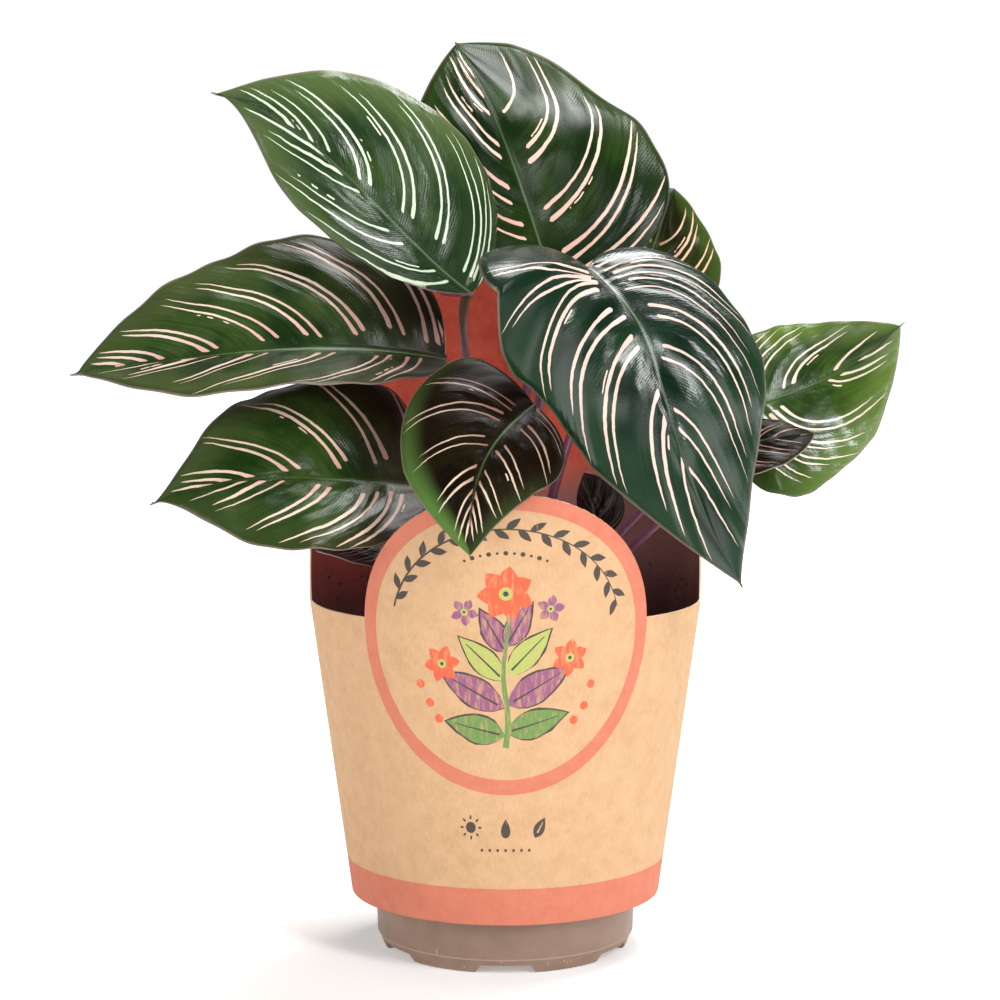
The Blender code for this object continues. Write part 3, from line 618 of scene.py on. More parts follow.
def stripe_mask(t, out, leaf, seed):
    """1 on the pale lines, 0 between them, and the broken lines beside some of them.

    The pair nearest the tip keeps only one line."""
    pair, pitch = (node(t, ATTRIBUTE, attribute_name=name, out="Fac") for name in ("pair", "pitch"))
    place = node(t, "ShaderNodeTexCoord", out="Object")
    wobble = node(t, NOISE, place, 0.28 / MM, 2.0, 0.5)
    wobble = node(t, MATH, wobble, 0.5, operation="SUBTRACT")
    wobble = node(t, MATH, wobble, STRIPE_WOBBLE, operation="MULTIPLY")
    number = node(t, MATH, pair, operation="FLOOR")
    across = node(t, MATH, node(t, MATH, pair, operation="FRACT"), 0.5, operation="SUBTRACT")
    across = node(t, MATH, across, pitch, wobble, operation="MULTIPLY_ADD")
    outer = node(t, MATH, across, 0.0, operation="GREATER_THAN")
    line = node(t, MATH, number, 2.0, node(t, MATH, outer, seed, operation="ADD"),
                operation="MULTIPLY_ADD")
    # Three random numbers each for the pair, for the line and for the dashes beside it
    marks = (node(t, MATH, number, seed + 0.37, operation="ADD"), line,
             node(t, MATH, line, 0.61, operation="ADD"))
    rolls = [node(t, "ShaderNodeTexWhiteNoise", mark, noise_dimensions="1D", out="Color")
             for mark in marks]
    both, own, other = (node(t, "ShaderNodeSeparateColor", roll).node.outputs for roll in rolls)

    gap = node(t, RANGE, both["Red"], 0.0, 1.0, *[leaf["gap"] * spread for spread in GAP_SPREAD])
    gap = node(t, MATH, gap, node(t, RANGE, out, 0.2, 1.0, 1.05, 0.6), operation="MULTIPLY")
    gap = node(t, MATH, gap, node(t, MATH, pitch, 0.5, operation="MULTIPLY"), operation="MINIMUM")
    distance = node(t, MATH, across, operation="ABSOLUTE")
    distance = node(t, MATH, distance, node(t, MATH, gap, -0.5, operation="MULTIPLY"),
                    operation="ADD")
    start = node(t, RANGE, own["Red"], 0.0, 1.0, *STRIPE_STARTS)
    end = node(t, RANGE, own["Green"], 0.0, 1.0, *STRIPE_ENDS)
    on_right = node(t, MATH, pair, RIGHT_COUNT - 1.0, operation="GREATER_THAN")
    usual = node(t, RANGE, on_right, 0.0, 1.0, *leaf["line"])
    width = node(t, MATH, usual, node(t, RANGE, own["Blue"], 0.0, 1.0, *WIDTH_SPREAD),
                 operation="MULTIPLY")
    from_start = node(t, MATH, out, start, operation="SUBTRACT")
    before_end = node(t, MATH, end, out, operation="SUBTRACT")
    rounded = node(t, RANGE, from_start, 0.0, 0.025, 0.0, 1.0, interpolation_type="SMOOTHSTEP")
    club = node(t, RANGE, from_start, 0.04, 0.25, CLUB_WIDTH, 1.0, interpolation_type="SMOOTHSTEP")
    pointed = node(t, RANGE, before_end, 0.0, 0.25, 0.0, 1.0)
    pointed = node(t, MATH, pointed, 0.4, operation="POWER")
    width = node(t, MATH, width, node(t, MATH, rounded, club, operation="MULTIPLY"),
                 operation="MULTIPLY")
    width = node(t, MATH, width, pointed, operation="MULTIPLY")
    inside = node(t, MATH, width, node(t, MATH, distance, operation="ABSOLUTE"), operation="SUBTRACT")
    lines = node(t, RANGE, inside, 0.0, 2 * STRIPE_SOFTNESS, 0.0, 1.0,
                 interpolation_type="SMOOTHSTEP")
    left_count, right_count = (len(pairs) for pairs in leaf["pairs"])
    last = node(t, RANGE, on_right, 0.0, 1.0, left_count - 1.0, RIGHT_COUNT + right_count - 1.0)
    lonely = node(t, MATH, number, node(t, MATH, last, 0.5, operation="SUBTRACT"),
                  operation="GREATER_THAN")
    lonely = node(t, MATH, lonely, outer, operation="MULTIPLY")
    lines = node(t, MATH, lines, node(t, MATH, 1.0, lonely, operation="SUBTRACT"),
                 operation="MULTIPLY")

    beside = node(t, MATH, node(t, MATH, distance, -DASH_BESIDE, operation="ADD"),
                  operation="ABSOLUTE")
    broken = node(t, NOISE, place, 0.3 / MM, 0.0, 0.5)
    thin = node(t, RANGE, broken, 0.38, 0.5, -0.25, 0.26)
    dashes = node(t, RANGE, node(t, MATH, thin, beside, operation="SUBTRACT"), -0.06, 0.06, 0.0, 1.0,
                  interpolation_type="SMOOTHSTEP")
    dash_start = node(t, RANGE, other["Red"], 0.0, 1.0, *DASH_STARTS)
    along = node(t, MATH, out, dash_start, operation="SUBTRACT")
    along = node(t, MATH, along, DASH_LENGTH / 2, operation="SUBTRACT")
    along = node(t, MATH, along, operation="ABSOLUTE")
    short = node(t, MATH, along, 0.11, operation="LESS_THAN")
    has_dash = node(t, MATH, other["Green"], WITHOUT_DASH, operation="GREATER_THAN")
    dashes = node(t, MATH, node(t, MATH, dashes, short, operation="MULTIPLY"), has_dash,
                  operation="MULTIPLY")
    return lines, dashes, pair, place


print("half width of the largest leaf's lines, in mm:", LEAVES[6]["line"])

# %% [markdown]
# ## Cuticle, underside and margin
# Under the stripes lies the tissue: clouds of two greens with streaks along the veins, another tint at
# the margin, and a darker base where leaves shade each other. The light plays on the relief as much as
# on the colour: fine side veins, a pebbled grain, and the quilted panels that the cuticle forms between
# the veins. Wax isn't even either, so broad patches shine and others stay dull. Below, the leaf is
# maroon and matt, which is half of this plant's charm and shows where a margin curls.

# %% Leaf skin
RIB_HALF_WIDTH = 0.5
FINE_VEINS = 110
QUILTING = 14.0
QUILT_PANELS = (2.6, 3.2)
WAX_PATCHES = (1.5, 1.8)
WAX_SHINE = (0.3, 1.6)
GLOSS = (0.17, 0.27)
PLANT_IOR = 1.45
BRIM = "#8E7E70"
CUT_BRIM = "#7E6C60"


def leaf_skin(leaf, seed):
    """The upper side: green tissue under a waxy cuticle, with pale stripes and a light midrib."""
    skin, t, shader = new_material("waxy_leaf_" + leaf["name"])
    out, share, from_rib = (node(t, ATTRIBUTE, attribute_name=name, out="Fac")
                            for name in ("out", "along", "from_rib"))
    lines, dashes, pair, place = stripe_mask(t, out, leaf, seed)

    cloud = node(t, NOISE, place, 0.045 / MM, 3.0, 0.55)
    cloud = node(t, RANGE, cloud, 0.38, 0.66, 0.0, 1.0, interpolation_type="SMOOTHSTEP")
    vein_place = node(t, "ShaderNodeCombineXYZ", node(t, MATH, pair, 9.0, operation="MULTIPLY"), out)
    streak = node(t, NOISE, vein_place, 1.6, 3.0, 0.6)
    tissue = node(t, MIX, cloud, linear(leaf["deep"]), linear(leaf["light"]), data_type="RGBA")
    streak = node(t, RANGE, streak, 0.3, 0.75, 0.66, 1.36)
    tissue = node(t, VECTOR, tissue, streak, operation="SCALE")
    edge = node(t, RANGE, out, leaf["margin_from"], 1.0, 0.0, 0.8,
                interpolation_type="SMOOTHSTEP")
    margins = leaf["margin"] if isinstance(leaf["margin"], tuple) else (leaf["margin"],) * 2
    on_right = node(t, MATH, pair, RIGHT_COUNT - 1.0, operation="GREATER_THAN")
    margin = node(t, MIX, on_right, *[linear(colour) for colour in margins], data_type="RGBA")
    tissue = node(t, MIX, edge, tissue, margin, data_type="RGBA")
    # Painted shade: near the joint the tissue darkens to the leaf's shade colour, where other leaves shade
    # the base
    shade, reach = leaf.get("shade", (leaf["deep"], 0.3))
    shaded_base = node(t, RANGE, share, reach * 0.2, reach, 0.85, 0.0, interpolation_type="SMOOTHSTEP")
    tissue = node(t, MIX, shaded_base, tissue, linear(shade), data_type="RGBA")
    rib_fade = node(t, MATH, from_rib, -1.0, operation="MULTIPLY")
    rib = node(t, RANGE, rib_fade, -RIB_HALF_WIDTH, -RIB_HALF_WIDTH * 0.3, 0.0, 1.0,
               interpolation_type="SMOOTHSTEP")
    rib = node(t, MATH, rib, node(t, RANGE, share, 0.3, 0.8, 0.85, 0.15), operation="MULTIPLY")
    tissue = node(t, MIX, rib, tissue, linear(leaf["rib_colour"]), data_type="RGBA")
    foot = linear(leaf.get("stripe_foot", leaf["stripe"]))
    pale = node(t, RANGE, out, 0.1, 0.6, 0.0, 1.0)
    pale = node(t, MIX, pale, foot, linear(leaf["stripe"]), data_type="RGBA")
    # Painted shade: near a shaded base the stripes dim as well, more strongly on leaves that give a shade
    # colour
    stripe_in_shade = node(t, VECTOR, foot[:3], 0.6, operation="SCALE")
    shaded_base = node(t, MATH, shaded_base, 0.75 if "shade" in leaf else 0.15, operation="MULTIPLY")
    pale = node(t, MIX, shaded_base, pale, stripe_in_shade, data_type="RGBA")
    drawn = node(t, MATH, lines, dashes, operation="MAXIMUM")
    colour = node(t, MIX, drawn, tissue, pale, data_type="RGBA")
    brim = node(t, RANGE, out, 0.985, 0.995, 0.0, 0.5)
    colour = node(t, MIX, brim, colour, linear(BRIM), data_type="RGBA")

    fine = node(t, MATH, node(t, MATH, share, math.tau * FINE_VEINS, operation="MULTIPLY"),
                operation="SINE")
    grain = node(t, NOISE, place, 1.2 / MM, 3.0, 0.65)
    relief = node(t, MATH, grain, 1.2, node(t, MATH, fine, 0.16, operation="MULTIPLY"),
                  operation="MULTIPLY_ADD")
    quilt_place = [node(t, MATH, value, panels, operation="MULTIPLY")
                   for value, panels in zip((pair, out), QUILT_PANELS)]
    quilt_place = node(t, "ShaderNodeCombineXYZ", *quilt_place, seed * 0.7)
    quilt = node(t, MATH, node(t, NOISE, quilt_place, 1.0, 1.5, 0.5), 0.5, operation="SUBTRACT")
    quilt = node(t, MATH, quilt, node(t, RANGE, out, 0.05, 0.14, 0.0, QUILTING),
                 operation="MULTIPLY")
    relief = node(t, MATH, relief, quilt, operation="ADD")
    bump = node(t, "ShaderNodeBump", 0.6, 0.1 * MM, None, relief)
    gloss = node(t, NOISE, place, 0.2 / MM, 2.0, 0.5)
    gloss = node(t, RANGE, gloss, 0.3, 0.7, *GLOSS)
    dull = node(t, RANGE, share, 0.04, 0.3, leaf["dull_base"], 0.0)
    gloss = node(t, MATH, gloss, dull, operation="ADD")
    wax_place = [node(t, MATH, value, patches, operation="MULTIPLY")
                 for value, patches in zip((pair, out), WAX_PATCHES)]
    wax_place = node(t, "ShaderNodeCombineXYZ", *wax_place, seed + leaf["waxing"])
    wax = node(t, NOISE, wax_place, 1.0, 1.0, 0.5)
    wax = node(t, RANGE, wax, 0.4, 0.6, *WAX_SHINE, interpolation_type="SMOOTHSTEP")
    sheen = node(t, MATH, wax, leaf["sheen"], operation="MULTIPLY")
    feed(shader, base_color=colour, roughness=gloss, ior=PLANT_IOR, normal=bump,
         specular_ior_level=sheen)
    return skin


def leaf_underside(leaf, seed):
    """The lower side: maroon from the pigment that this plant keeps there, matt, with a paler brown rib."""
    skin, t, shader = new_material("maroon_underside_" + leaf["name"])
    out, share, from_rib = (node(t, ATTRIBUTE, attribute_name=name, out="Fac")
                            for name in ("out", "along", "from_rib"))
    lines, _, _, place = stripe_mask(t, out, leaf, seed)
    cloud = node(t, NOISE, place, 0.06 / MM, 3.0, 0.55)
    tissue = node(t, MIX, cloud, linear("#4A1D2E"), linear("#6B3142"), data_type="RGBA")
    edge = node(t, RANGE, out, 0.8, 1.0, 0.0, 0.7, interpolation_type="SMOOTHSTEP")
    tissue = node(t, MIX, edge, tissue, linear("#6A4A3E"), data_type="RGBA")
    faint = node(t, MATH, lines, 0.25, operation="MULTIPLY")
    tissue = node(t, MIX, faint, tissue, linear("#B07A80"), data_type="RGBA")
    rib = node(t, RANGE, from_rib, 1.4, 0.6, 0.0, 0.8, interpolation_type="SMOOTHSTEP")
    tissue = node(t, MIX, rib, tissue, linear("#7A5A4A"), data_type="RGBA")
    fine = node(t, MATH, share, math.tau * FINE_VEINS, operation="MULTIPLY")
    bump = node(t, "ShaderNodeBump", 0.4, 0.1 * MM, None, node(t, MATH, fine, operation="SINE"))
    feed(shader, base_color=tissue, roughness=0.5, ior=PLANT_IOR, normal=bump)
    return skin


def cut_edge(leaf):
    """The blade's edge, a thin line where the skins meet, drier and paler than both."""
    skin, _, shader = new_material("leaf_margin_" + leaf["name"])
    feed(shader, base_color=linear(CUT_BRIM), roughness=0.5)
    return skin


print("fine veins on a blade:", FINE_VEINS)

# %% [markdown]
# ## Growing the blades
# Each blade's tree gets the leaf's values. The stripes need to know how many millimetres one pair
# spans at every point, which is measured on the bent mesh. Solidify then gives the sheet its thickness
# downwards, with more under the midrib, which stands out as a round rib below.

# %% Blades
SHEET = 0.5 * MM
RIB_DEPTH = 1.7 * MM
RIB_SPREAD = 0.9
PLEAT_HEIGHT = 0.32 * MM
RIPPLE_SHARE = 0.45
SEED_STEP = 40


def rib_terms(points):
    """Start, slope, bend and twist of the cubic through points at 0, 1/3, 2/3 and 1."""
    p0, p1, p2, p3 = (Vector(point) * MM for point in points)
    return (p0, (-11 * p0 + 18 * p1 - 9 * p2 + 2 * p3) / 2,
            (18 * p0 - 45 * p1 + 36 * p2 - 9 * p3) / 2, (-9 * p0 + 27 * p1 - 27 * p2 + 9 * p3) / 2)


def face_terms(faces):
    """Start, turn and bend of the way that the upper side looks."""
    first, middle, last = (Vector(face).normalized() for face in faces)
    return first, -3 * first + 4 * middle - last, 2 * first - 4 * middle + 2 * last


def blade_values(leaf, skin):
    values = dict(zip(("Rib Start", "Rib Slope", "Rib Bend", "Rib Twist"), rib_terms(leaf["rib"])))
    values.update(zip(("Face Start", "Face Turn", "Face Bend"), face_terms(leaf["face"])))
    for name in HALF_SIZES:
        key = name.split()[0].lower()
        scale = MM if key == "half" else 1.0
        for side, value in zip(("Left", "Right"), leaf[key]):
            values[f"{side} {name}"] = value * scale
    height, count = leaf["wave"]
    values.update({"Wave Height": height * MM, "Waves": float(count), "Skin": skin})
    values.update({"Ripple Height": RIPPLE_SHARE * height * MM, "Tip Drawn Out": leaf["drawn"],
                   "Pleat Height": PLEAT_HEIGHT})
    return values


def measure_pitch(mesh):
    """Millimetres that one stripe pair spans, at every point of the bent grid."""
    wide = 2 * STRIPS + 1
    places = np.zeros(len(mesh.vertices) * 3)
    mesh.vertices.foreach_get("co", places)
    places = places.reshape(-1, 3)[1:-1].reshape(-1, wide, 3) / MM
    counts = np.zeros(len(mesh.vertices))
    mesh.attributes["pair"].data.foreach_get("value", counts)
    counts = counts[1:-1].reshape(-1, wide)
    pitch = np.ones(counts.shape)
    for half in (slice(0, STRIPS + 1), slice(STRIPS + 1, wide)):
        along, across = (np.gradient(places[:, half], axis=axis) for axis in (0, 1))
        count_along, count_across = (np.gradient(counts[:, half], axis=axis) for axis in (0, 1))
        ee, ff, gg = ((p * q).sum(2) for p, q in ((along, along), (along, across), (across, across)))
        steep = gg * count_along ** 2 - 2 * ff * count_along * count_across + ee * count_across ** 2
        pitch[:, half] = np.sqrt((ee * gg - ff * ff) / np.maximum(steep, 1e-9))
    return np.concatenate([[pitch[0].mean()], pitch.ravel(), [pitch[-1].mean()]])


def thicken_blade(mesh, skins):
    """Give the sheet a body below its upper side, deeper under the midrib."""
    blade = add_object("blade", mesh)
    for skin in skins:
        mesh.materials.append(skin)
    group = blade.vertex_groups.new(name="rib")
    near = np.zeros(len(mesh.vertices))
    mesh.attributes["from_rib"].data.foreach_get("value", near)
    share = np.zeros(len(mesh.vertices))
    mesh.attributes["along"].data.foreach_get("value", share)
    heights = RIB_DEPTH * np.exp(-(near / RIB_SPREAD) ** 2) * np.sqrt(1 - share)
    for index, depth in enumerate(heights):
        group.add([index], min(1.0, depth / RIB_DEPTH), "REPLACE")
    body = blade.modifiers.new("body", "SOLIDIFY")
    body.thickness = RIB_DEPTH
    body.offset = -1
    body.vertex_group = "rib"
    body.thickness_vertex_group = SHEET / RIB_DEPTH
    body.material_offset = 1
    body.material_offset_rim = 2
    return evaluated_mesh(blade)


def build_blade(leaf, seed):
    skin = leaf_skin(leaf, seed)
    mesh = grow(blade_pattern(leaf), BLADE_TREE, blade_values(leaf, skin))
    mesh.attributes.new("pitch", "FLOAT", "POINT").data.foreach_set("value", measure_pitch(mesh))
    body = thicken_blade(mesh, [leaf_underside(leaf, seed), cut_edge(leaf)])
    return finish_piece("blade_" + leaf["name"], body, ["leaf_" + leaf["name"]])


blades = [build_blade(leaf, SEED_STEP * number) for number, leaf in enumerate(LEAVES, 1)]
print("faces in a blade:", len(blades[0].data.polygons))

# %% [markdown]
# ## Stalks
# A stalk (petiole) runs from the soil to each blade, maroon below and greener where it bends under the
# leaf, with a slightly thicker joint (the pulvinus) that turns the blade to the light. Each stalk is a
# path with a round profile, so a Geometry Nodes tree lays a tube along it and stores how far up a point
# lies, for the colour. The paths repeat the solids' rule: straight up from the soil, then over in a bow.

# %% Stalks
SOIL_CROWN = 86
STALK_SOCKET = 9
STALK_FOOT_RADIUS = 2.1
STALK_TOP_RADIUS = 1.3
BLADE_SOLID = 0.8
CLEARANCE = 0.3
STALK_POINTS = 24
STALK_RINGS = 56
STALK_SIDES = 14
JOINT_SWELLING = 0.35
COMING_LEAN = 0.35
SEAT_GAP = 0.2
SEAT_AHEAD = 0.8


def rib_at(leaf, along):
    start, slope, bend, twist = rib_terms(leaf["rib"])
    return (start + (slope + (bend + twist * along) * along) * along) / MM


def joint_frame(leaf):
    """The rib's direction and the upper side's normal at the joint."""
    ahead = (rib_at(leaf, 0.002) - rib_at(leaf, 0)).normalized()
    up = Vector(leaf["face"][0]).normalized()
    return ahead, (up - ahead * up.dot(ahead)).normalized()


def stalk_route(leaf):
    """Foot in its socket, straight up, then over to just under the blade's joint."""
    ahead, up = joint_frame(leaf)
    coming = (up + ahead * COMING_LEAN).normalized()
    lean = math.sqrt(1 - coming.dot(up) ** 2)
    gap = BLADE_SOLID / 2 + CLEARANCE + STALK_TOP_RADIUS * lean
    end = rib_at(leaf, 0) - up * (gap + SEAT_GAP) + ahead * SEAT_AHEAD
    rise, reach = leaf["bow"]
    collar = Vector((*leaf["foot"], SOIL_CROWN + 1))
    handles = collar + Vector((0, 0, rise)), end - coming * reach
    route = [Vector((*leaf["foot"], SOIL_CROWN - STALK_SOCKET + CLEARANCE))]
    for step in range(STALK_POINTS):
        t = step / (STALK_POINTS - 1)
        route.append(collar * (1 - t) ** 3 + handles[0] * (3 * t * (1 - t) ** 2)
                     + handles[1] * (3 * t * t * (1 - t)) + end * t ** 3)
    return [point * MM for point in route]


def stalk_tree():
    t, given = new_tree("leaf_stalk", {"Foot Radius": "Float", "Top Radius": "Float",
                                       "Joint Swelling": "Float", "Skin": "Material"})
    path = node(t, "GeometryNodeMeshToCurve", given["Geometry"])
    path = node(t, "GeometryNodeResampleCurve", path, True, STALK_RINGS)
    grown = node(t, "GeometryNodeSplineParameter")
    path = node(t, "GeometryNodeStoreNamedAttribute", path, True, "grown", grown, data_type="FLOAT",
                domain="POINT")
    radius = node(t, RANGE, grown, 0.08, 0.9, given["Foot Radius"], given["Top Radius"])
    joint = node(t, RANGE, grown, 0.88, 0.94, 0.0, 1.0, interpolation_type="SMOOTHSTEP")
    radius = node(t, MATH, joint, given["Joint Swelling"], radius, operation="MULTIPLY_ADD")
    profile = node(t, "GeometryNodeCurvePrimitiveCircle", STALK_SIDES)
    profile.node.inputs["Radius"].default_value = 1.0
    close_tree(t, node(t, "GeometryNodeCurveToMesh", path, profile, radius, True), given["Skin"])
    return t


def stalk_skin():
    """A fleshy living stalk: maroon pigment over green, smooth, with fine lengthwise streaks."""
    skin, t, shader = new_material("maroon_leafstalk")
    grown = node(t, ATTRIBUTE, attribute_name="grown", out="Fac")
    place = node(t, "ShaderNodeTexCoord", out="Object")
    stretched = node(t, "ShaderNodeMapping", place, None, None, (1, 1, 0.12))
    streak = node(t, NOISE, stretched, 0.9 / MM, 3.0, 0.6)
    low = node(t, MIX, streak, linear("#4E2233"), linear("#86506A"), data_type="RGBA")
    high = node(t, MIX, streak, linear("#4A2E2C"), linear("#6E6444"), data_type="RGBA")
    turning = node(t, RANGE, grown, 0.72, 1.0, 0.0, 1.0, interpolation_type="SMOOTHSTEP")
    bump = node(t, "ShaderNodeBump", 0.3, 0.1 * MM, None, streak)
    feed(shader, base_color=node(t, MIX, turning, low, high, data_type="RGBA"), roughness=0.38,
         ior=PLANT_IOR, normal=bump)
    return skin


STALK_TREE = stalk_tree()
STALK_SKIN = stalk_skin()
for leaf in LEAVES:
    route = stalk_route(leaf)
    line = bpy.data.meshes.new("route")
    line.from_pydata(route, [(index, index + 1) for index in range(len(route) - 1)], [])
    tube = grow(line, STALK_TREE, {"Foot Radius": STALK_FOOT_RADIUS * MM, "Skin": STALK_SKIN,
                                   "Top Radius": STALK_TOP_RADIUS * MM,
                                   "Joint Swelling": JOINT_SWELLING * MM})
    stalk = finish_piece("petiole_" + leaf["name"], tube, ["stalk_" + leaf["name"]])
print("faces in a stalk:", len(stalk.data.polygons))

# %% [markdown]
# ## Nursery pot
# The pot is a thin moulded tub of recycled polypropylene, taupe with paler flecks from the mixed scrap.
# It is turned from a profile, with six feet between notches that let water out, and drain holes in its
# floor. A lathe of 168 steps keeps its outline round in close views.

# %% Pot
POT_HEIGHT = 92
POT_RIM_DEPTH = 7
POT_TOP_RADIUS = 55.8
POT_FOOT_RADIUS = 43.9
POT_FOOT_HEIGHT = 20
POT_WALL = 1.2
POT_FLOOR = 4.8
POT_STEP_RADIUS = 43.4
POT_STEPS = 168
NOTCH_COUNT = 6
NOTCH_FROM = 29
NOTCH_TO = 45.6
DRAIN_RADIUS = 3
DRAIN_RING = 23
FLECKS = ((0.5, 2.2, 0.35), (-0.35, 2.6, 0.3), (0.05, 1.7, 0.3))
STEP_HEIGHT = 4.95
POT_PROFILE = [
    (0, 0), (14, 0), (14.3, 0.2), (15, 3.2), (32, 3.2), (32.7, 0.3), (33, 0), (40.3, 0), (40.9, 0.15),
    (41.35, 0.5), (41.62, 1.1), (42.75, 4.2), (42.95, 4.6), (43.3, 4.9), (43.4, 5.25), (43.9, 20),
    (POT_TOP_RADIUS, 85), (57.7, 85), (58.15, 85.15), (58.3, 85.5), (58.3, 91.2), (58.1, 91.75),
    (57.6, 92), (56.5, 92), (56.1, 91.7), (54.6, 85), (POT_FOOT_RADIUS - POT_WALL, POT_FOOT_HEIGHT),
    (POT_STEP_RADIUS - POT_WALL, POT_FLOOR), (0, POT_FLOOR),
]


def turned(profile, segments):
    """Spin a profile of (radius, height) round the Z axis into a closed shell.

    The merge leaves the faces in an order that differs from run to run. They are sorted at the end, so
    that whatever is scattered over them or cut from them comes out the same each time."""
    bm = bmesh.new()
    verts = [bm.verts.new((radius * MM, 0, height * MM)) for radius, height in profile]
    edges = [bm.edges.new(pair) for pair in zip(verts, verts[1:])]
    bmesh.ops.spin(bm, geom=verts + edges, cent=(0, 0, 0), axis=(0, 0, 1), angle=math.tau,
                   steps=segments, use_merge=True)
    bmesh.ops.remove_doubles(bm, verts=bm.verts, dist=1e-6)
    bmesh.ops.recalc_face_normals(bm, faces=bm.faces)
    bm.verts.index_update()
    points = [tuple(vert.co) for vert in bm.verts]
    loops = [[vert.index for vert in face.verts] for face in bm.faces]
    bm.free()
    firsts = [loop.index(min(loop)) for loop in loops]
    mesh = bpy.data.meshes.new("turned")
    mesh.from_pydata(points, [], sorted(loop[first:] + loop[:first] for loop, first in zip(loops, firsts)))
    return mesh


def notch_bar():
    """A trapezoid bar with rounded upper corners, from the recess out through the foot ring."""
    corners = [(-10, -1), (10, -1), (9.9, 0), (8.7, 2.2), (8.35, 2.7), (7.7, 2.9)]
    outline = corners + [(-x, z) for x, z in reversed(corners[2:])]
    count = len(outline)
    points = [(x * MM, -reach * MM, z * MM) for reach in (NOTCH_FROM, NOTCH_TO) for x, z in outline]
    sides = [(i, i + count, (i + 1) % count + count, (i + 1) % count) for i in range(count)]
    bar = bpy.data.meshes.new("notch")
    bar.from_pydata(points, [], sides + [tuple(range(count)), tuple(range(2 * count - 1, count - 1, -1))])
    bm = bmesh.new()
    bm.from_mesh(bar)
    bmesh.ops.recalc_face_normals(bm, faces=bm.faces)
    bm.to_mesh(bar)
    bm.free()
    return bar


def flecked_plastic():
    """Moulded recycled polypropylene: satin, with short pale fibres that lie in the flow of the mould."""
    plastic, t, shader = new_material("flecked_recycled_polypropylene")
    place = node(t, "ShaderNodeTexCoord", out="Object")
    cloud = node(t, NOISE, place, 0.12 / MM, 3.0, 0.6)
    colour = node(t, MIX, cloud, linear("#826555"), linear("#9D8370"), data_type="RGBA")
    for tilt, spacing, share in FLECKS:
        laid = node(t, "ShaderNodeMapping", place, None, (tilt, tilt, 0.0), (1, 1, 0.16))
        cells = node(t, "ShaderNodeTexVoronoi", laid, 1 / (spacing * MM))
        near = node(t, RANGE, cells, 0.09, 0.05, 0.0, 1.0)
        chosen = node(t, "ShaderNodeSeparateColor", cells.node.outputs["Color"])
        chosen = node(t, MATH, chosen, share, operation="LESS_THAN")
        near = node(t, MATH, near, node(t, MATH, chosen, 0.7, operation="MULTIPLY"),
                    operation="MULTIPLY")
        colour = node(t, MIX, near, colour, linear("#C9B4A2"), data_type="RGBA")
    height = node(t, "ShaderNodeSeparateXYZ", place).node.outputs["Z"]
    # A paler line runs along the small step near the foot
    off_step = node(t, MATH, height, -STEP_HEIGHT * MM, operation="ADD")
    off_step = node(t, MATH, off_step, operation="ABSOLUTE")
    step_line = node(t, RANGE, off_step, 0.45 * MM, 0.15 * MM, 0.0, 0.5, interpolation_type="SMOOTHSTEP")
    colour = node(t, MIX, step_line, colour, linear("#BFA897"), data_type="RGBA")
    grain = node(t, NOISE, place, 1.8 / MM, 2.0, 0.6)
    bump = node(t, "ShaderNodeBump", 0.25, 0.08 * MM, None, grain)
    feed(shader, base_color=colour, roughness=0.5, ior=1.49, normal=bump)
    return plastic


pot = add_object("nursery_pot", turned(POT_PROFILE, POT_STEPS))
tools = []
for index in range(NOTCH_COUNT):
    notch = add_object(f"notch_{index}", notch_bar())
    notch.rotation_euler.z = math.tau * index / NOTCH_COUNT
    pin = [(0, -1), (DRAIN_RADIUS, -1), (DRAIN_RADIUS, 9), (0, 9)]
    drain = add_object(f"drain_{index}", turned(pin, 32))
    turn = math.tau * (index + 0.5) / NOTCH_COUNT
    drain.location = (DRAIN_RING * MM * math.cos(turn), DRAIN_RING * MM * math.sin(turn), 0)
    tools += [notch, drain]
for tool in tools:
    cut = pot.modifiers.new(tool.name, "BOOLEAN")
    cut.object = tool
    cut.solver = "EXACT"
pot_mesh = evaluated_mesh(pot)
for tool in tools:
    bpy.data.objects.remove(tool)
pot = finish_piece("nursery_pot", pot_mesh, ["pot"], [flecked_plastic()])
pot.data.set_sharp_from_angle(angle=math.radians(35))
print("faces in the pot:", len(pot.data.polygons))

# %% [markdown]
# ## Soil
# Potting soil is dark peat with crumbs and pale bits of fibre. The mound is turned like the pot and
# roughened point by point, and a Geometry Nodes tree scatters about 1,700 crumbs over it.

# %% Soil
SOIL_EDGE = 83
SOIL_STEPS = 96
SOIL_RINGS = 24
MOUND_ROUGHNESS = (-0.9, 0.7)
CRUMBS_PER_AREA = 170000.0
CRUMB_SIZES = (0.4, 1.9)


def pot_inner_radius(height):
    share = (height - POT_FOOT_HEIGHT) / (POT_HEIGHT - POT_RIM_DEPTH - POT_FOOT_HEIGHT)
    return POT_FOOT_RADIUS + share * (POT_TOP_RADIUS - POT_FOOT_RADIUS) - POT_WALL


def peat(name, dark, bright):
    """Moist peat: nearly black brown, matt, with a few lighter fibres."""
    earth, t, shader = new_material(name)
    place = node(t, "ShaderNodeTexCoord", out="Object")
    grain = node(t, NOISE, place, 0.8 / MM, 5.0, 0.65)
    colour = node(t, MIX, node(t, RANGE, grain, 0.35, 0.7, 0.0, 1.0), linear(dark), linear(bright),
                  data_type="RGBA")
    bump = node(t, "ShaderNodeBump", 0.8, 0.5 * MM, None, grain)
    feed(shader, base_color=colour, roughness=0.92, specular_ior_level=0.3, normal=bump)
    return earth


